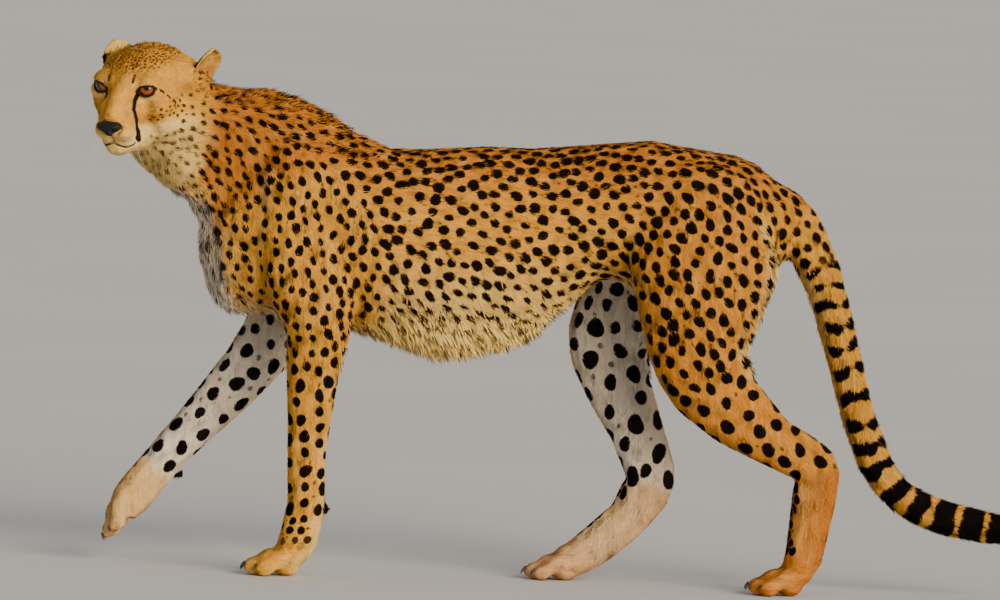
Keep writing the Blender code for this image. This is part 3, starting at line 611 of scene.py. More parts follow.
def placed(gap, wanted, taken=()):
    """Vertices chosen so that none is nearer to another than its own spacing."""
    cell = 0.040
    grid = {}
    for i in taken:
        grid.setdefault(tuple((P[i] // cell).astype(int)), []).append(P[i])
    chosen = []
    order = rng.permutation(np.nonzero(wanted)[0])
    cells = (P // cell).astype(int)
    steps = [(a, b, c) for a in (-1, 0, 1) for b in (-1, 0, 1) for c in (-1, 0, 1)]
    points, keys = P.tolist(), cells.tolist()
    for i in order.tolist():
        x, y, z = points[i]
        a, b, c = keys[i]
        limit = gap[i] ** 2
        free = True
        for da, db, dc in steps:
            for u, v, w in grid.get((a + da, b + db, c + dc), ()):
                if (u - x) ** 2 + (v - y) ** 2 + (w - z) ** 2 < limit:
                    free = False
                    break
            if not free:
                break
        if free:
            chosen.append(i)
            grid.setdefault((a, b, c), []).append((x, y, z))
    return np.array(chosen)


def evened(index, wanted, times):
    """Moves each chosen vertex of the body towards the middle of the skin that is nearest to it."""
    free = np.nonzero(wanted & (is_head < 0.3))[0]
    for _ in range(times):
        owner = nearest(P[index], P[free])
        count = np.bincount(owner, minlength=len(index))
        middle = np.stack([np.bincount(owner, P[free][:, k], len(index)) for k in range(3)], axis=1)
        moves = (count > 6) & (is_head[index] < 0.3)
        goal = P[index[moves]] * 0.2 + 0.8 * middle[moves] / count[moves, None]
        index = index.copy()
        index[moves] = nearest(P, goal)
    return index


def scattered():
    """The spots: places, axes, sizes and strengths."""
    half, gap, long, strength = spot_rules()
    wanted = strength > 0.08
    main = evened(placed(gap, wanted), wanted, 2)
    small = placed(gap * 0.68, wanted & (is_head < 0.3), taken=main)
    small = small[rng.random(len(small)) < 0.35]
    index = np.concatenate([main, small])
    size = np.concatenate([half[main] * rng.uniform(0.80, 1.16, len(main)),
                           half[small] * rng.uniform(0.22, 0.42, len(small))])
    power = np.concatenate([strength[main] * rng.uniform(0.992, 1.0, len(main)), 0.75 * strength[small]])
    turn = rng.normal(0, 0.30, len(index))[:, None]
    along = FLOW[index] * np.cos(turn) + ACROSS[index] * np.sin(turn)
    ratio = np.sqrt(long[index] * rng.uniform(0.88, 1.22, len(index)))
    return {"tree": tree_of(P[index]), "at": P[index], "out": N[index], "along": along,
            "across": np.cross(N[index], along), "size": size, "power": power, "ratio": ratio,
            "wave": rng.uniform(0, 2 * pi, (2, len(index)))}


def spot_mark(points):
    """Signed distance into the nearest spot in metres (positive inside), and its strength."""
    g = SPOTS
    near = np.array([[hit[1] for hit in g["tree"].find_n(p, 3)] for p in points.tolist()])
    best, second, power_at = np.full(len(points), -0.02), np.full(len(points), -0.03), np.ones(len(points))
    for s in near.T:
        d = points - g["at"][s]
        a = (d * g["along"][s]).sum(axis=1) / g["ratio"][s]
        b = (d * g["across"][s]).sum(axis=1) * g["ratio"][s]
        c = (d * g["out"][s]).sum(axis=1)
        angle = np.arctan2(b, a)
        wobble = 0.07 * np.cos(2 * angle + g["wave"][0, s]) + 0.05 * np.cos(3 * angle + g["wave"][1, s])
        mark = g["size"][s] * (1 + wobble) - np.sqrt(a * a + b * b + 0.5 * c * c)
        power_at = np.where(mark > best, g["power"][s], power_at)
        second = np.maximum(second, np.minimum(best, mark))
        best = np.maximum(best, mark)
    return best - np.clip(second + 0.0016, 0, None), power_at      # neighbours stay apart


def tail_mark(points):
    """The tail's paired spots, bands and dark end; how white its tip is; and how far along it is."""
    s = points - STUDY
    gap, place = line_distance(s * (1, 0, 1), TAIL_LINE)
    steps = np.linalg.norm(np.diff(TAIL_LINE, axis=0), axis=1)
    ends = np.concatenate([[0], np.cumsum(steps)])
    at = np.interp(place * (len(TAIL_LINE) - 1), np.arange(len(TAIL_LINE)), ends)
    centre = np.stack([np.interp(at, ends, TAIL_LINE[:, k]) for k in range(3)], axis=1)
    off = s - centre
    tangent = unit(np.stack([np.gradient(TAIL_LINE[:, k], ends) for k in range(3)], axis=1))
    t = unit(np.stack([np.interp(at, ends, tangent[:, k]) for k in range(3)], axis=1))
    back = np.cross(t, (0, 1, 0))
    back *= np.sign(back[:, 2:] + 1e-9)
    angle = np.arctan2(s[:, 1] + 0.008 * smoothstep(0, 0.4, at), (off * back).sum(axis=1))
    best = np.full(len(points), -0.02)
    for where, half, paired in TAIL_BANDS:
        wave = 0.0016 * np.sin(3 * angle + 40 * where) + 0.0012 * np.sin(5 * angle + 90 * where)
        lean = paired * 0.0038 * np.sin(1.7 * angle + 31 * where)
        mark = half * 0.001 - np.abs(at - where + wave + lean)
        waist = np.exp(-((np.abs(angle) - 1.15 - 0.2 * np.sin(57 * where)) / 0.28) ** 2)
        mark = mark - paired * half * 0.001 * 0.75 * waist
        under_gap = 0.030 * (2.15 + where * 1.8 + 0.25 * np.sin(77 * where) - np.abs(angle))
        best = np.maximum(best, np.minimum(mark, under_gap))
    return best, smoothstep(TAIL_WHITE - 0.006, TAIL_WHITE + 0.010, at), at


def face_mark(points, out_of_skin, head):
    """Signed distance into the dark lines of the face, and into the fainter streaks of its brow."""
    q = to_head(points)
    m, n = mirrored(q), mirrored_normals(q, out_of_skin @ HEAD_AXES)
    best = np.full(len(points), -0.02)
    gap, place = line_distance(m, TEAR, n)
    best = np.maximum(best, 0.0024 + 0.0014 * smoothstep(0.45, 1.0, place) - gap)
    for line, half in ((MOUTH, 0.0003), (PHILTRUM, 0.0008), (MOUTH_SPOT, 0.0040)):
        best = np.maximum(best, half - line_distance(m, line, n)[0])
    for line in TEMPLE:
        best = np.maximum(best, 0.0017 - line_distance(m, line, n)[0])
    for sign in SIDES.values():
        x, y, out = eye_plane(q, sign)
        rim = 0.0013 + 0.0005 * smoothstep(0.0, 0.006, y) + 0.0007 * smoothstep(0.007, 0.013, np.abs(x))
        best = np.maximum(best, np.where(out > 0, rim + inside_lids(x, y), -0.02))
    faint = 0.0022 - line_distance(m, BROW, n)[0]
    return np.where(head > 0.4, best, -0.02), np.where(head > 0.4, faint, -0.02)


def marks_at(points, out_of_skin, head, tail_part, ear_part, in_cup, ear_rise):
    """Signed distance in metres into the nearest dark mark, and how dark it is."""
    mark, power = spot_mark(points)
    face, brow = face_mark(points, out_of_skin, head)
    band, _, along = tail_mark(points)
    on_tail = (tail_part > 0.55) & (along > 0.05)
    mark, power = np.where(on_tail, band, mark), np.where(on_tail, 1.0, power)
    mark, power = np.maximum(mark, brow), np.where(brow > mark, 0.90, power)
    mark, power = np.maximum(mark, face), np.where(face > mark, 1.0, power)
    # the back of each ear is black between its pale base and its pale tip
    black = (1 - in_cup) * smoothstep(0.02, 0.10, ear_rise) * smoothstep(0.78, 0.74, ear_rise)
    on_ear = ear_part > 0.5
    return np.where(on_ear, 0.004 * (2 * black - 1), mark), np.where(on_ear, 0.99, power)


SPOTS = scattered()
mark, power = marks_at(P, N, is_head, is_tail, is_ear, hollow, rise)
_, white_tip, tail_at = tail_mark(P)
tail_skin = smoothstep(0.45, 0.75, is_tail) * (tail_at > 0.05)

# ---------------------------------------------------------------- ground colours
q0, _, q2 = M.T


def bump_at(centre, radii):
    """1 at a place of the face, falling off smoothly over its radii."""
    return np.exp(-(np.linalg.norm((M - centre) / radii, axis=1)) ** 2)


def pale_zones():
    """How far the coat is pale: belly, chest, inner legs, throat, jaw, ears and the tail's tip."""
    low_trunk = is_trunk * smoothstep(0.55, 0.40, S[:, 2]) * 0.9 * smoothstep(-0.02, 0.08, S[:, 0])
    below_tail = smoothstep(0.2, 0.9, N[:, 0] * -1 - N[:, 2])
    root_of_tail = is_tail * below_tail * 0.7 * smoothstep(0.3, 0.1, tail_at)
    value = np.clip(0.95 * belly + 0.85 * chest * smoothstep(0.95, 0.55, np.abs(N[:, 1])), 0, 1)
    for zone in (low_trunk, inner * (0.85 - 0.6 * is_paw) * np.where(on("metatarsus"), 0.5, 1.0),
                 is_neck * smoothstep(0.35, 0.85, -N[:, 2] - 0.5 * N[:, 0]) * 0.70, root_of_tail):
        value = np.maximum(value, zone)
    cheek = smoothstep(-0.040, -0.066, q2) * smoothstep(-0.085, -0.045, q0)
    muzzle = smoothstep(-0.048, -0.062, q2) * smoothstep(-0.01, 0.02, q0)
    under_eye = bump_at((0.000, 0.043, -0.0135), (0.02, 0.013, 0.0050))
    over_eye = bump_at((0.004, 0.026, 0.0120), (0.02, 0.008, 0.0060))
    face = np.clip(np.maximum(cheek, muzzle) + 0.9 * under_eye + 0.6 * over_eye, 0, 1)
    value = np.where(is_head > 0.02, np.maximum(value * (1 - is_head), face * is_head), value)
    back_of_ear = (1 - hollow) * (0.2 + 0.5 * smoothstep(0.70, 0.80, rise))
    value = np.where(is_ear > 0.5, 0.20 * hollow + back_of_ear, value)
    low_fore = on("fore") * smoothstep(0.26, 0.14, S[:, 2])
    for zone in (white_tip * tail_skin, 0.75 * on("thigh") * smoothstep(0.50, 0.80, N[:, 0]),
                 0.65 * low_fore * smoothstep(0.20, 0.60, N[:, 0]),
                 0.30 * on("metatarsus") * np.exp(-(((N[:, 0] + 0.35) / 0.30) ** 2))):
        value = np.maximum(value, zone)
    return net.eased(value, 6)


def white_zones():
    """How far pale hair is white: inner legs, chest and the tail's tip."""
    legs = inner * (1 - 0.75 * is_paw) * np.where(on("metatarsus"), 0.35, 0.9)
    return net.eased(np.maximum(np.maximum(legs, 0.85 * chest), white_tip * tail_skin), 8)


def deep_zones():
    """How far the coat is deep orange: back, neck, backs of the ears, crown, thighs and hind feet."""
    neck = is_neck * (0.35 + 0.55 * smoothstep(-0.7, 0.1, N[:, 2]))
    value = np.clip(is_trunk * smoothstep(0.55, 0.68, S[:, 2]) * 0.9 + neck, 0, 1)
    for zone in (is_ear * smoothstep(0.75, 0.1, rise),
                 0.40 * is_head * smoothstep(0.018, 0.040, q2) * smoothstep(0.0, -0.02, q0),
                 0.5 * is_head * bump_at((0.020, 0.022, -0.030), (0.02, 0.012, 0.010)),
                 0.95 * on("metatarsus", "hindpaw"),
                 0.8 * (named == "forepaw_right") * smoothstep(0.1, 0.6, N[:, 0]),
                 0.50 * on("thigh", "shank")):
        value = np.maximum(value, zone)
    return net.eased(value, 14)


pale, white, deep = pale_zones(), white_zones(), deep_zones()
down = net.eased(smoothstep(0.45, 0.75, np.abs(FLOW[:, 2])), 6)
bare = smoothstep(-0.0022, 0.0, face_mark(P, N, is_head)[0])

TONES = {"pale": pale, "deep": deep, "white": white, "down": down, "fold_shade_and_tone": fold_shade_and_tone}
for name, values in {"mark": mark * 1000, "power": power, **TONES, "bare": bare}.items():
    add_number(skin_mesh, name, values)


# ---------------------------------------------------------------- materials
class Shader:
    """Short helpers for building one node material."""

    def __init__(self, name, roughness, specular=0.35, **sockets):
        self.material = bpy.data.materials.new(name)
        self.material.use_nodes = True
        self.nodes, self.links = self.material.node_tree.nodes, self.material.node_tree.links
        self.main = self.nodes["Principled BSDF"]
        self.main.inputs["Roughness"].default_value = roughness
        self.main.inputs["Specular IOR Level"].default_value = specular
        for key, value in sockets.items():
            self.main.inputs[key.replace("_", " ")].default_value = value

    def node(self, kind, **values):
        made = self.nodes.new(kind)
        for key, value in values.items():
            setattr(made, key, value)
        return made

    def put(self, socket, value):
        if isinstance(value, (int, float)):
            socket.default_value = value
        elif isinstance(value, tuple):
            socket.default_value = (*value, 1.0) if len(socket.default_value) == 4 else value
        else:
            self.links.new(value, socket)

    def attribute(self, name, output="Fac"):
        return self.node("ShaderNodeAttribute", attribute_name=name).outputs[output]

    def place(self):
        return self.node("ShaderNodeTexCoord").outputs["Object"]

    def noise(self, scale, detail=2.0, where=None, distortion=0.0):
        made = self.node("ShaderNodeTexNoise")
        made.inputs["Scale"].default_value = scale
        made.inputs["Detail"].default_value = detail
        made.inputs["Distortion"].default_value = distortion
        self.put(made.inputs["Vector"], where or self.place())
        return made.outputs["Fac"]

    def stretched(self, x, y, z, detail=3.0):
        scaled = self.node("ShaderNodeVectorMath", operation="MULTIPLY")
        self.put(scaled.inputs[0], self.place())
        scaled.inputs[1].default_value = (x, y, z)
        return self.noise(1.0, detail, scaled.outputs[0])

    def combed(self, long, short, detail=3.0):
        """Noise drawn out along the body on the trunk and down the limbs, as the hair lies."""
        level, down = self.stretched(long, short, short, detail), self.stretched(short, short, long, detail)
        steep = self.attribute("down")
        return self.math("ADD", self.math("MULTIPLY", level, self.math("SUBTRACT", 1.0, steep)),
                         self.math("MULTIPLY", down, steep))

    def math(self, operation, a, b=0.0, c=0.0, clamp=False):
        made = self.node("ShaderNodeMath", operation=operation, use_clamp=clamp)
        for socket, value in zip(made.inputs, (a, b, c)):
            self.put(socket, value)
        return made.outputs[0]

    def span(self, value, low, high, to_low=0.0, to_high=1.0):
        made = self.node("ShaderNodeMapRange", interpolation_type="SMOOTHSTEP")
        for key, number in (("Value", value), ("From Min", low), ("From Max", high),
                            ("To Min", to_low), ("To Max", to_high)):
            self.put(made.inputs[key], number)
        return made.outputs["Result"]

    def ramp(self, value, stops):
        made = self.node("ShaderNodeValToRGB")
        elements = made.color_ramp.elements
        while len(elements) < len(stops):
            elements.new(0.5)
        for element, (place, colour) in zip(elements, stops):
            element.position, element.color = place, (*colour, 1.0)
        self.put(made.inputs["Fac"], value)
        return made.outputs["Color"]

    def mix(self, factor, a, b):
        made = self.node("ShaderNodeMix", data_type="RGBA")
        self.put(made.inputs["Factor"], factor)
        self.put(made.inputs[6], a)
        self.put(made.inputs[7], b)
        return made.outputs[2]

    def bump(self, height, strength, distance):
        made = self.node("ShaderNodeBump")
        made.inputs["Strength"].default_value = strength
        made.inputs["Distance"].default_value = distance
        self.put(made.inputs["Height"], height)
        self.put(self.main.inputs["Normal"], made.outputs["Normal"])

    def colour(self, value):
        self.put(self.main.inputs["Base Color"], value)
        return self.material


# Colours of the coat, as linear red, green and blue.
COAT = (0.85, 0.405, 0.048)
DEEP = (0.59, 0.185, 0.020)
PALE = (0.97, 0.690, 0.220)
WHITE = (0.80, 0.740, 0.620)
DARK = (0.0045, 0.0020, 0.0010)       # the spots
SHADE = (0.20, 0.070, 0.012)          # painted shade between the strands and in folds, also used for a darker tone
BARE = (0.010, 0.007, 0.006)          # hairless lines of the face


def coat_material(name, on_skin):
    """Hair: ground colour by zone, broken up by combed strands, with the dark marks over it."""
    s = Shader(name, 0.85, 0.08)
    broad = s.noise(9.0, 3.0)
    fine = s.noise(420.0, 2.0)
    strands, clumps = s.combed(34.0, 170.0), s.combed(13.0, 52.0)
    soft = s.math("MULTIPLY_ADD", s.attribute("pale"), -0.55, 1.0)         # pale hair shows its strands less
    ground = s.mix(s.attribute("deep"), COAT, DEEP)
    ground = s.mix(s.attribute("pale"), ground, PALE)
    ground = s.mix(s.attribute("white"), ground, WHITE)
    ground = s.mix(s.span(broad, 0.25, 0.75, 0.30, 0.0), ground, s.mix(0.5, ground, DEEP))
    # clumps that the bump below raises are painted paler: partly tone that differs at random, partly painted
    # highlight
    ground = s.mix(s.span(clumps, 0.50, 0.70, 0.0, 0.40), ground, s.mix(0.5, ground, PALE))
    shade = s.mix(0.60, ground, SHADE)
    # painted shade in folds and along the hock's groove, with a darker tone on the head, neck and hind feet
    ground = s.mix(s.math("MULTIPLY", s.attribute("fold_shade_and_tone"), 0.92), ground, shade)
    # low places of the strands' bump are darkened: painted shade between the strands
    ground = s.mix(s.math("MULTIPLY", s.span(strands, 0.28, 0.55, 0.55, 0.0), soft), ground, shade)
    ground = s.mix(s.math("MULTIPLY", s.span(fine, 0.25, 0.75, 0.25, 0.0), soft), ground, shade)
    ragged = s.math("MULTIPLY_ADD", fine, 1.2, s.math("ADD", s.attribute("mark"), -0.5))
    spot = s.math("MULTIPLY", s.span(ragged, -0.6, 0.6), s.attribute("power"))
    if not on_skin:
        tint = s.math("MULTIPLY", s.span(s.attribute("tint"), 0.0, 0.8, 0.45, 0.0), soft)
        ground = s.mix(tint, ground, shade)
    colour = s.mix(spot, ground, DARK)
    if on_skin:
        colour = s.mix(s.attribute("bare"), colour, BARE)
    height = s.math("MULTIPLY_ADD", strands, 0.35, clumps)
    s.bump(height, 0.80, 0.0060)
    return s.colour(colour)


def leather_material(name, colour, roughness, scale, strength):
    """Moist, finely pebbled leather."""
    s = Shader(name, roughness, 0.30, Coat_Weight=0.05, Coat_Roughness=0.35)
    cells = s.node("ShaderNodeTexVoronoi", feature="SMOOTH_F1")
    cells.inputs["Scale"].default_value = scale
    s.put(cells.inputs["Vector"], s.place())
    s.bump(cells.outputs["Distance"], strength, 0.0006)
    tone = s.span(s.noise(140.0, 3.0), 0.3, 0.7)
    return s.colour(s.mix(tone, colour, tuple(1.9 * c for c in colour)))


def eye_material():
    """Pupil, amber iris and dark white of the eye, by the angle in degrees from its axis."""
    s = Shader("eye_wet", 0.10, 0.25, Coat_Weight=0.45, Coat_Roughness=0.02)
    angle = s.attribute("from_axis")
    fibres = s.noise(9.0, 4.0, s.attribute("iris_place", "Vector"), 0.4)
    iris = s.ramp(s.span(angle, 13.0, 45.0), [(0.0, (0.20, 0.034, 0.001)), (0.30, (0.42, 0.085, 0.001)),
                                              (0.72, (0.26, 0.040, 0.001)), (1.0, (0.02, 0.004, 0.001))])
    iris = s.mix(s.span(fibres, 0.35, 0.65, 0.55, 0.0), iris, s.mix(0.6, iris, (0.10, 0.030, 0.008)))
    white = s.mix(s.span(angle, 44.0, 49.0), iris, (0.045, 0.022, 0.014))
    return s.colour(s.mix(s.span(angle, 13.6, 14.6), (0.003, 0.003, 0.003), white))


def horn_material():
    """Dark claw with paler streaks."""
    s = Shader("claw_horn", 0.34, 0.5)
    streak = s.noise(160.0, 3.0)
    s.bump(streak, 0.25, 0.0004)
    return s.colour(s.mix(s.span(streak, 0.35, 0.65), (0.020, 0.014, 0.011), (0.10, 0.066, 0.042)))


SKIN_LOOK = coat_material("coat_on_skin", True)
HAIR_LOOK = coat_material("coat_hair", False)
EYE_LOOK = eye_material()
NOSE_LOOK = leather_material("nose_leather", (0.0050, 0.0042, 0.0040), 0.58, 1100.0, 0.60)
LID_LOOK = leather_material("lid_leather", (0.008, 0.0065, 0.006), 0.40, 1400.0, 0.20)
HORN_LOOK = horn_material()
whisker = Shader("whisker", 0.45, 0.4)
WHISKER_LOOK = whisker.colour(whisker.mix(whisker.noise(60.0), (0.80, 0.76, 0.68), (0.92, 0.90, 0.84)))


def finished(thing, look, slot, *replaced):
    """The piece with its material and its body, with the CAD nodes it stands for hidden; its slot is not
    used.
    """
    thing.data.materials.clear()
    thing.data.materials.append(look)
    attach(thing, "root")
    if replaced:
        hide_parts(*replaced)
    return thing


finished(object_of(skin_mesh, "skin"), SKIN_LOOK, "coat", *FLESH)


# ---------------------------------------------------------------- eyes
GAZE = unit(np.array((-0.02, -1.0, 0.10)))       # the animal looks at the viewer


def ball(rings, sides):
    """Directions over a sphere from its pole at +Z, and the faces between them."""
    lat, lon = np.meshgrid(np.linspace(0, pi, rings + 1), np.arange(sides) * 2 * pi / sides, indexing="ij")
    points = np.stack([np.sin(lat) * np.cos(lon), np.sin(lat) * np.sin(lon), np.cos(lat)], axis=-1)
    faces = [(j * sides + i, (j + 1) * sides + i, (j + 1) * sides + k, j * sides + k)
             for j in range(rings) for i, k in ((i, (i + 1) % sides) for i in range(sides))]
    return points.reshape(-1, 3), np.array(faces), lat.ravel(), lon.ravel()


def welded(mesh):
    """The mesh with the corners that meet at its poles and seams joined."""
    bm = bmesh.new()
    bm.from_mesh(mesh)
    bmesh.ops.remove_doubles(bm, verts=bm.verts, dist=1e-6)
    bmesh.ops.recalc_face_normals(bm, faces=bm.faces)
    bm.to_mesh(mesh)
    bm.free()
    mesh.shade_smooth()
    return mesh


def eyeball(side):
    """An eye with its cornea bulging towards where the animal looks."""
    points, faces, lat, lon = ball(64, 72)
    bulge = 0.0011 * np.exp(-(lat / radians(34)) ** 4)
    mesh = mesh_of(points * (EYE_RADIUS - 0.0002 + bulge)[:, None], faces, f"eye_{side}")
    add_number(mesh, "from_axis", np.degrees(lat))
    place = mesh.attributes.new("iris_place", "FLOAT_VECTOR", "POINT")
    spokes = np.stack([np.cos(lon) * 2.2, np.sin(lon) * 2.2, lat * 0.8], axis=-1)
    place.data.foreach_set("vector", spokes.astype(np.float32).ravel())
    welded(mesh)
    thing = object_of(mesh, f"eyeball_{side}")
    turn = Vector(GAZE).to_track_quat("Z", "Y").to_matrix().to_4x4()
    mesh.transform(Matrix.Translation(box_centre(f"eye_{side}")) @ turn)
    return finished(thing, EYE_LOOK, "eye", f"eye_{side}")


def tube(path, radii, sides, closed=False, up=None):
    """Points and quads of a round tube along a path; ends closed to points unless it is a loop."""
    path, radii = np.asarray(path, float), np.asarray(radii, float)
    ahead = np.roll(path, -1, 0) - np.roll(path, 1, 0) if closed else np.gradient(path, axis=0)
    ahead = unit(ahead)
    up = np.array((0.0, 0.0, 1.0)) if up is None else np.asarray(up, float)
    first = unit(np.cross(ahead, up) + 1e-9)
    second = np.cross(first, ahead)
    turn = np.arange(sides) * 2 * pi / sides
    ring = first[:, None] * np.cos(turn)[:, None] + second[:, None] * np.sin(turn)[:, None]
    points = (path[:, None] + ring * radii[:, None, None]).reshape(-1, 3)
    count = len(path)
    faces = [(j * sides + i, j * sides + (i + 1) % sides, (j + 1) % count * sides + (i + 1) % sides,
              (j + 1) % count * sides + i)
             for j in range(count if closed else count - 1) for i in range(sides)]
    return points, np.array(faces)


def lid_rim(side):
    """The moist dark rim between the lids and the eyeball."""
    sign = SIDES[side]
    t = np.linspace(0, 2 * pi, 96, endpoint=False)
    x = LID_HALF_WIDTH * np.cos(t) * 1.01
    top, low = lid_curves(x)
    y = np.where(np.sin(t) > 0, top, low)
    y = np.where(np.abs(np.sin(t)) < 1e-6, (top + low) / 2, y)
    radius = EYE_RADIUS + 0.0012
    out = np.sqrt(np.maximum(radius ** 2 - x ** 2 - y ** 2, 1e-8))
    loop = EYE_SEAT + x[:, None] * LID_SIDE + y[:, None] * (0, 0, 1) + out[:, None] * LID_AXIS
    thick = 0.00075 + 0.0003 * np.abs(np.cos(t)) ** 3 + 0.0002 * np.clip(np.sin(t), 0, 1)
    points, faces = tube(loop * (1, sign, 1), thick, 10, closed=True, up=LID_AXIS * (1, sign, 1))
    mesh = welded(mesh_of(from_head(points), faces, f"lid_rim_{side}"))
    return finished(object_of(mesh, f"lid_rim_{side}"), LID_LOOK, "leather")


for side in SIDES:
    eyeball(side)
    lid_rim(side)


# ---------------------------------------------------------------- nose
def nose():
    """The nose leather, wider above than below, with nostrils and the groove between them."""
    points, faces, _, _ = ball(72, 96)
    d = points[:, [2, 0, 1]]                      # pole forward; then left, up
    wide = 0.30 + 0.76 * smoothstep(-1.0, 0.20, d[:, 2]) - 0.08 * smoothstep(0.5, 1.0, d[:, 2])
    p = d * NOSE_RADII * 1.05
    p[:, 1] *= wide
    p[:, 2] -= 0.0022 * smoothstep(0.5, 1.0, d[:, 2])               # flat along its top
    side = np.abs(d[:, 1])
    # nostrils: a round hollow in front running out into a slit at the side
    hollow = np.exp(-(((side - 0.55) / 0.20) ** 2 + ((d[:, 2] + 0.16) / 0.22) ** 2))
    slit = np.exp(-((d[:, 2] - 0.02 - 0.55 * (side - 0.6)) / 0.10) ** 2) * smoothstep(0.55, 0.72, side)
    slit *= smoothstep(1.0, 0.93, side) * (d[:, 0] > -0.2)
    groove = np.exp(-(d[:, 1] / 0.05) ** 2) * smoothstep(0.35, -0.20, d[:, 2])
    wing = np.exp(-(((side - 0.62) / 0.30) ** 2 + ((d[:, 2] - 0.28) / 0.25) ** 2))
    p += d * (0.0010 * wing - 0.0062 * hollow * (d[:, 0] > 0) - 0.0030 * slit - 0.0016 * groove)[:, None]
    mesh = welded(mesh_of(from_head(p + NOSE_AT), faces, "nose"))
    return finished(object_of(mesh, "nose_leather"), NOSE_LOOK, "leather", "nose")


nose()


def whiskers(side):
    """Stiff pale hairs from the side of the muzzle, drooping towards their tips."""
    sign = SIDES[side]
    starts = [((0.040 - 0.0060 * k, 0.0190 + 0.0028 * k, -0.0560 - 0.0060 * row), 36 - 3 * row + 2 * k)
              for row in range(3) for k in range(2)]
    tree = tree_of(P)
    points, faces, count = [], [], 0
    for (f, s, u), long in starts:
        root, _, _ = tree.find(Vector(from_head((f, s * sign, u))))
        long = long * 0.001 * rng.uniform(0.75, 1.1)
        aim = np.array((0.20 + 0.10 * rng.normal(), (0.50 + 0.12 * rng.normal()) * sign,
                        -0.40 + 0.15 * rng.normal()))
        t = np.linspace(0, 1, 10)[:, None]
        path = (unit(aim) * t + np.array((-0.14, -0.10 * sign, -0.62)) * t * t) * long
        path = path @ HEAD_AXES.T + np.array(root)
        path[:, 0] = np.maximum(path[:, 0], cad_box[0][0] + 0.002 + 0.004 * rng.random())
        ring, quads = tube(path, 0.00018 * (1 - 0.85 * t[:, 0]), 5)
        points.append(ring)
        faces.append(quads + count)
        count += len(ring)
    mesh = mesh_of(np.concatenate(points), np.concatenate(faces), f"whiskers_{side}")
    return finished(object_of(mesh, f"whiskers_{side}"), WHISKER_LOOK, "horn")


for side in SIDES:
    whiskers(side)
for name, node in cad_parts.items():
    if name.startswith("claw_"):
        node.data.materials.clear()
        node.data.materials.append(HORN_LOOK)


# ---------------------------------------------------------------- the coat
# Length, lift off the skin in degrees, width and spacing of the short tufts, in mm, for each part.
TUFTS = {"head": (6.0, 13, 0.95, 1.70), "ear": (5.0, 15, 0.80, 1.50), "neck": (13, 18, 1.5, 2.45),
         "trunk": (11.5, 12, 1.6, 2.45), "tail": (12, 18, 1.4, 2.3), "arm": (10.5, 12, 1.5, 2.5),
         "thigh": (10.5, 12, 1.5, 2.5), "forearm": (8.0, 12, 1.30, 2.25), "shank": (8.5, 12, 1.35, 2.3),
         "metatarsus": (6.5, 11, 1.2, 2.1), "forepaw": (4.5, 12, 1.0, 1.8), "hindpaw": (4.5, 12, 1.0, 1.8)}


def table_column(k):
    """One measure of the short tufts over the whole skin."""
    return net.eased(by_label({key: row[k] for key, row in TUFTS.items()}, 1.0), 12)


front_face = is_head * smoothstep(0.005, 0.030, q0)
tuft_length, tuft_lift, tuft_width, tuft_gap = (table_column(k) for k in range(4))
tuft_length = tuft_length * (1 - 0.50 * front_face) + 8 * belly + 5 * chest
tuft_width = tuft_width * (1 - 0.25 * front_face)
tuft_gap = tuft_gap * (1 - 0.22 * front_face)
jaw = is_head * smoothstep(-0.060, -0.085, q2) * smoothstep(0.02, -0.01, q0)
ruff = is_head * smoothstep(-0.055, -0.090, q0) * smoothstep(0.01, -0.02, q2)
tuft_length = tuft_length + 6 * jaw + 5 * ruff
tuft_lift = tuft_lift + 16 * nape + 6 * chest + 8 * jaw

# Where long locks grow, how long they are in mm, and how many degrees they stand off the skin.
throat = np.clip(is_neck * smoothstep(0.15, 0.75, -N[:, 2] - 0.35 * N[:, 0]) + chest, 0, 1)
s0, _, s2 = S.T
flank_fold = is_trunk * smoothstep(0.50, 0.56, s0) * smoothstep(0.66, 0.60, s0) * smoothstep(0.52, 0.47, s2)
low_belly = is_trunk * smoothstep(-0.01, 0.06, s0) * smoothstep(0.62, 0.50, s0) * smoothstep(0.44, 0.385, s2)
low_flank = is_trunk * smoothstep(-0.03, 0.06, s0) * smoothstep(0.50, 0.43, s2) * (1 - low_belly)
rear = on("thigh") * smoothstep(0.45, 0.8, N[:, 0])
elbow = on("arm") * smoothstep(0.5, 0.8, N[:, 0]) * smoothstep(0.42, 0.38, s2)
ear_root = is_ear * smoothstep(0.35, 0.05, rise)
ear_root = ear_root + is_head * smoothstep(-0.085, -0.105, q0) * smoothstep(-0.03, 0.0, q2)
LOCKS = [(low_belly, 34, 18), (0.6 * low_flank, 17, 14), (flank_fold, 24, 24), (throat, 22, 20),
         (nape, 22, 32), (rear, 20, 28), (elbow, 18, 28), (0.8 * is_tail, 17, 24),
         (np.clip(ear_root, 0, 1), 11, 30), (np.clip(jaw + ruff, 0, 1), 13, 26)]
lock_share = np.clip(sum(zone for zone, _, _ in LOCKS), 0, 1)
heavy = sum(zone for zone, _, _ in LOCKS) + 1e-6
lock_length = net.eased(sum(zone * long for zone, long, _ in LOCKS) / heavy, 6)
lock_lift = net.eased(sum(zone * lift for zone, _, lift in LOCKS) / heavy, 6)
hang = np.clip(1.3 * low_belly + 0.6 * low_flank + 0.9 * flank_fold + 0.4 * throat + 0.5 * elbow, 0, 1.5)

corner = P[F]
FACE_AREA = 0.5 * np.linalg.norm(np.cross(corner[:, 1] - corner[:, 0], corner[:, 2] - corner[:, 0]), axis=1)


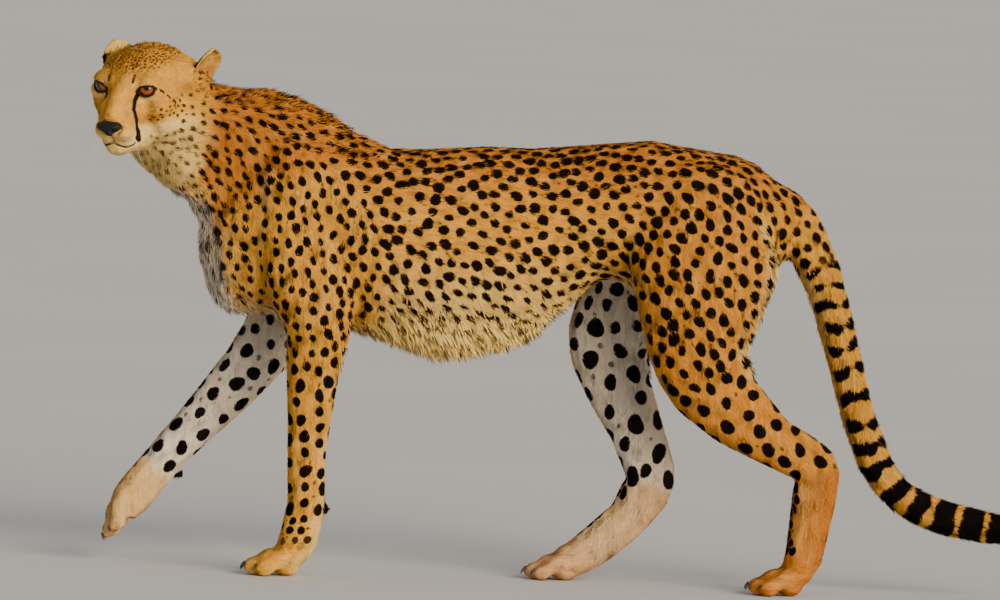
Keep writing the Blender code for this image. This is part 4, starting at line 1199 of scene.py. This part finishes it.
def roots(gap, share):
    """Evenly spread places on the skin: their triangles and weights in them."""
    per_face = FACE_AREA / (gap[F].mean(axis=1) * 0.001) ** 2 * share[F].mean(axis=1)
    total = np.cumsum(per_face)
    face = np.searchsorted(total, np.arange(int(total[-1])) + rng.random(int(total[-1])))
    face = np.minimum(face, len(F) - 1)
    u, v = rng.random((2, len(face)))
    turn = u + v > 1
    u, v = np.where(turn, 1 - u, u), np.where(turn, 1 - v, v)
    return face, np.stack([1 - u - v, u, v], axis=1)


class Roots:
    """Places on the skin that carry hair, with what is interpolated there."""

    def __init__(self, gap, share):
        self.face, self.weight = roots(gap, share)
        self.at, self.out, self.flow = self.take(P), unit(self.take(N)), self.take(FLOW)
        kept = self.take(bare) < 0.35
        q = to_head(self.at)
        for sign in SIDES.values():
            x, y, out = eye_plane(q, sign)
            kept &= ~((out > 0) & (out < 0.025) & (inside_lids(x, y) > -0.0012))
        kept &= np.linalg.norm((q - NOSE_AT) / (NOSE_RADII * 1.06), axis=1) > 1
        for key in ("face", "weight", "at", "out", "flow"):
            setattr(self, key, getattr(self, key)[kept])
        self.flow = unit(self.flow - self.out * (self.flow * self.out).sum(axis=1, keepdims=True))
        self.count = len(self.at)
        self.label = label[F[self.face, 0]]

    def take(self, values):
        """Values of the skin's vertices, interpolated at the roots."""
        picked = values[F[self.face]]
        return (picked * (self.weight[..., None] if values.ndim == 2 else self.weight)).sum(axis=1)

    def marks(self, *reaches):
        """Marks where each ring of a tuft lies over the skin: one row of columns for each reach."""
        zones = [self.take(v) for v in (is_head, is_tail, is_ear, hollow, rise)]
        rows = [marks_at(self.at + self.flow * reach[:, None], self.out, *zones) for reach in reaches]
        return np.stack([row[0] for row in rows], axis=1), np.stack([row[1] for row in rows], axis=1)


def waves(points, size):
    """A smooth random field over space, of about unit spread."""
    k = unit(rng.normal(size=(14, 3))) * (2 * pi / (size * rng.uniform(0.7, 1.6, 14)))[:, None]
    return np.sin(points @ k.T + rng.uniform(0, 2 * pi, 14)).sum(axis=1) / np.sqrt(7)


def clumped(r, normal):
    """Neighbouring hairs lean together, so that patches of the coat take the light differently."""
    amount = (0.26 - 0.16 * r.take(is_head) - 0.10 * r.take(is_paw))[:, None]
    lean = r.flow * waves(r.at, 0.022)[:, None]
    lean = (lean + np.cross(r.out, r.flow) * waves(r.at, 0.022)[:, None]) * amount
    return unit(normal + lean[:, None, :])


def hanging_normals(r, normal):
    """Hair that hangs faces sideways, wherever the skin over it faces."""
    hanging = r.take(np.clip(hang, 0, 1))[:, None, None]
    aside = normal * (0.5, 1.0, 1.0)
    aside[..., 1] += 0.35 * np.sign(r.out[:, None, 1] + 1e-6)
    aside[..., 2] = np.maximum(aside[..., 2], -0.10)
    return unit(normal * (1 - hanging) + unit(aside) * hanging)


def swung(r, spread):
    """The lie of each hair, swung at random in the skin's plane."""
    angle = (rng.normal(0, radians(spread), r.count) + radians(9) * waves(r.at, 0.035))[:, None]
    return unit(r.flow * np.cos(angle) + np.cross(r.out, r.flow) * np.sin(angle))


def short_tufts():
    """The short coat all over: three-sided spikes lying along the skin."""
    r = Roots(tuft_gap, np.ones(len(P)))
    length = r.take(tuft_length) * rng.uniform(0.70, 1.20, r.count) * 0.001
    lift = np.radians(r.take(tuft_lift) * rng.uniform(0.5, 1.5, r.count))[:, None]
    flow = swung(r, 9)
    across = np.cross(r.out, flow)
    width = (r.take(tuft_width) * rng.uniform(0.8, 1.2, r.count) * 0.0005)[:, None]
    root = r.at - r.out * 0.0004
    tip = r.at + (flow * np.cos(lift) + r.out * np.sin(lift)) * length[:, None]
    ridge = root + r.out * width * 1.1 - flow * width
    points = np.stack([root - across * width, root + across * width, ridge, tip], axis=1)
    faces = np.array([(0, 1, 3), (1, 2, 3), (2, 0, 3), (0, 2, 1)])
    normal = np.stack([unit(r.out - 0.45 * across), unit(r.out + 0.45 * across), r.out,
                       unit(r.out + 0.15 * flow)], axis=1)
    uv = np.array([(0, 0), (1, 0), (0.5, 0.2), (0.5, 1)])
    mark, power = r.marks(0.08 * length, 0.45 * length, 0.85 * length)
    between = (mark[:, 0] > 0) & (mark[:, 2] > 0) & (mark[:, 1] < 0)
    mark[:, 2] = np.where(between, 2 * mark[:, 1] - mark[:, 0], mark[:, 2])
    pick = [0, 0, 0, 2]                           # which reach each corner takes its mark from
    normal = hanging_normals(r, clumped(r, normal))
    return r, points, faces, normal, uv, (mark[:, pick], power[:, pick])


def long_locks():
    """Longer, curved locks of the belly, throat, nape, tail and legs, drooping where they hang."""
    r = Roots(np.full(len(P), 4.0) - 0.7 * is_head - 0.4 * is_tail - 0.8 * is_ear, lock_share)
    length = r.take(lock_length) * rng.uniform(0.65, 1.15, r.count) * 0.001
    lift = np.radians(r.take(lock_lift) * rng.uniform(0.5, 1.4, r.count))[:, None]
    flow = swung(r, 14)
    width = length * rng.uniform(0.055, 0.080, r.count) * (1 + 0.2 * r.take(np.clip(hang, 0, 1))) + 0.0004
    down = r.take(hang)[:, None]
    start = flow * np.cos(lift) + r.out * np.sin(lift)
    end = unit(flow * np.cos(lift * 0.5) + r.out * np.sin(lift * 0.5) + down * np.array((0.1, 0.0, -1.3)))
    curl = np.cross(r.out, flow) * rng.normal(0, 0.12, r.count)[:, None]
    steps = np.array([0.0, 0.35, 0.72, 1.0])
    spine, at = [], r.at - r.out * 0.0006
    for k, t in enumerate(steps):
        if k:
            aim = unit(start * (1 - t) + end * t + curl * t)
            at = at + aim * ((steps[k] - steps[k - 1]) * length)[:, None]
        spine.append(at)
    across = np.cross(r.out, flow)
    thick = [1.0, 0.95, 0.60]
    rings = []
    for k, wide in enumerate(thick):
        w = (width * wide * 0.5)[:, None]
        rings += [spine[k] - across * w, spine[k] + across * w, spine[k] + r.out * w * 0.9]
    points = np.stack(rings + [spine[3]], axis=1)
    faces = [(0, 2, 1)]
    for k in range(2):
        a, b = 3 * k, 3 * k + 3
        for i in range(3):
            j = (i + 1) % 3
            faces += [(a + i, a + j, b + j), (a + i, b + j, b + i)]
    faces += [(6, 7, 9), (7, 8, 9), (8, 6, 9)]
    normal = np.stack([unit(r.out - 0.5 * across), unit(r.out + 0.5 * across), r.out] * 3 + [r.out], axis=1)
    uv = np.array([(x, y) for y in (0, 0.35, 0.72) for x in (0, 1, 0.5)] + [(0.5, 1)])
    mark, power = r.marks(0.2 * length, 0.6 * length)
    pick = [0] * 6 + [1] * 4
    normal = hanging_normals(r, clumped(r, normal))
    return r, points, np.array(faces), normal, uv, (mark[:, pick], power[:, pick])


PIECES = {"head": ["head", "ear_left", "ear_right"], "neck": ["neck"], "trunk": ["trunk"], "tail": TAIL,
          **LIMB_NODES}
PATCH = 0.003              # size of each tuft's patch on the UV sheet
MOST_FACES = 190000        # in one piece of the coat
FLOOR_GAP = 0.0004         # least height of a hair over the floor


def unwrap(points, names, owner):
    """A place on a flat sheet for each root: each part is rolled out round its own long axis."""
    charts, x, y, row = [], 0.0, 0.0, 0.0
    for name in names:
        mine = owner == FLESH.index(name)
        if not mine.any():
            continue
        p = points[mine]
        middle = p.mean(axis=0)
        _, vectors = np.linalg.eigh((p - middle).T @ (p - middle) + 1e-9 * np.eye(3))
        local = (p - middle) @ vectors[:, ::-1]
        round_it = np.hypot(local[:, 1], local[:, 2]).mean() + 0.0005
        around = (np.arctan2(local[:, 2], local[:, 1]) / (2 * pi) + 0.5) * 2 * pi * round_it
        along = local[:, 0] - local[:, 0].min()
        charts.append((mine, around, along, 2 * pi * round_it, along.max()))
    total = sum(w * h for *_, w, h in charts)
    sheet = max(np.sqrt(total) * 1.15, max(w for *_, w, h in charts))
    uv = np.zeros((len(points), 2))
    for mine, around, along, w, h in sorted(charts, key=lambda c: -c[4]):
        if x + w > sheet * 1.001:
            x, y, row = 0.0, y + row, 0.0
        uv[mine] = np.stack([around + x, along + y], axis=1)
        x, row = x + w, max(row, h)
    return uv * (0.97 / max(sheet, y + row)) + 0.01


def coat_pieces(build, suffix):
    """One mesh of tufts for each part of the body, or more where it would have too many faces."""
    r, points, faces, normal, patch, (mark, power) = build()
    points[..., 2] = np.maximum(points[..., 2], cad_box[0][2] + FLOOR_GAP)
    corners = points.shape[1]
    each = {**{key: r.take(values) for key, values in TONES.items()}, "tint": rng.random(r.count)}
    columns = {"mark": mark * 1000, "power": power}
    columns.update({key: np.repeat(values[:, None], corners, 1) for key, values in each.items()})
    for name, members in PIECES.items():
        mine = np.isin(r.label, [FLESH.index(m) for m in members])
        parts = int(np.ceil(mine.sum() * len(faces) / MOST_FACES))
        order = np.nonzero(mine)[0]
        order = order[np.argsort(r.at[order, 0] if parts > 1 else np.arange(len(order)))]
        for k, pick in enumerate(np.array_split(order, parts) if parts else []):
            count = len(pick)
            index = (np.arange(count) * corners)[:, None, None] + faces
            mesh = mesh_of(points[pick].reshape(-1, 3), index.reshape(-1, 3), f"coat_{name}")
            for key, values in columns.items():
                add_number(mesh, key, values[pick].ravel())
            uv = unwrap(r.at[pick], members, r.label[pick])[:, None] + (patch * PATCH - PATCH / 2)
            layer = mesh.uv_layers.new(name="OFBake")
            layer.data.foreach_set("uv", uv[:, faces.ravel()].astype(np.float32).ravel())
            mesh.normals_split_custom_set_from_vertices(normal[pick].reshape(-1, 3).astype(np.float32))
            tag = f"coat_{name}_{suffix}" + (f"_{k + 1}" if parts > 1 else "")
            finished(object_of(mesh, tag), HAIR_LOOK, "coat")


coat_pieces(short_tufts, "short")
coat_pieces(long_locks, "long")

# ---------------------------------------------------------------- camera, floor and light
CAMERA_TARGET = Vector((0.3348, -0.055, 0.4446)) + Vector(STUDY)
CAMERA_RISE, CAMERA_ROLL, CAMERA_RANGE = radians(3.5), radians(2.2), 16.0
FILM_WIDTH, FOCAL_LENGTH, FARTHEST = 36.0, 368.64, 400.0      # mm, mm, m
lens = bpy.data.cameras.new("camera")
lens.sensor_width, lens.lens, lens.clip_end = FILM_WIDTH, FOCAL_LENGTH, FARTHEST
camera = bpy.data.objects.new("camera", lens)
bpy.context.scene.collection.objects.link(camera)
back = Vector((0, -cos(CAMERA_RISE), sin(CAMERA_RISE)))
right, up = Vector((1, 0, 0)), Vector((0, sin(CAMERA_RISE), cos(CAMERA_RISE)))
turned = Matrix([cos(CAMERA_ROLL) * right + sin(CAMERA_ROLL) * up,
                 cos(CAMERA_ROLL) * up - sin(CAMERA_ROLL) * right, back]).transposed()
camera.matrix_world = Matrix.Translation(CAMERA_TARGET + CAMERA_RANGE * back) @ turned.to_4x4()
bpy.context.scene.camera = camera

FLOOR = 60.0                                 # half its side, m
FLOOR_TONES = (0.66, 0.65, 0.63), (0.68, 0.67, 0.65)
square = np.array([(-1, -1, 0), (1, -1, 0), (1, 1, 0), (-1, 1, 0)])
floor_mesh = mesh_of(square * FLOOR, np.array([(0, 1, 2, 3)]), "floor")
floor_mesh.transform(Matrix.Translation((0, 0, cad_box[0][2])))
floor = object_of(floor_mesh, "floor")
paint = Shader("floor_paint", 0.9, 0.1)
floor_tone = paint.mix(paint.span(paint.noise(0.8, 2.0), 0.3, 0.7), *FLOOR_TONES)
floor_mesh.materials.append(paint.colour(floor_tone))

KEY_TOWARD, KEY_STRENGTH, KEY_SPREAD = (0.60, -0.78, 0.30), 4.4, radians(40)
KEY_COLOUR = (1.0, 0.90, 0.74)
ROOM_COLOUR, ROOM_STRENGTH = (0.96, 0.98, 1.0, 1), 0.40

light = bpy.data.lights.new("key", "SUN")
light.energy, light.color, light.angle = KEY_STRENGTH, KEY_COLOUR, KEY_SPREAD
key = bpy.data.objects.new("key", light)
key.rotation_euler = Vector(KEY_TOWARD).to_track_quat("Z", "Y").to_euler()
bpy.context.scene.collection.objects.link(key)

world = bpy.data.worlds.new("studio")
world.use_nodes = True
room = world.node_tree.nodes["Background"].inputs
room["Color"].default_value, room["Strength"].default_value = ROOM_COLOUR, ROOM_STRENGTH
bpy.context.scene.world = world
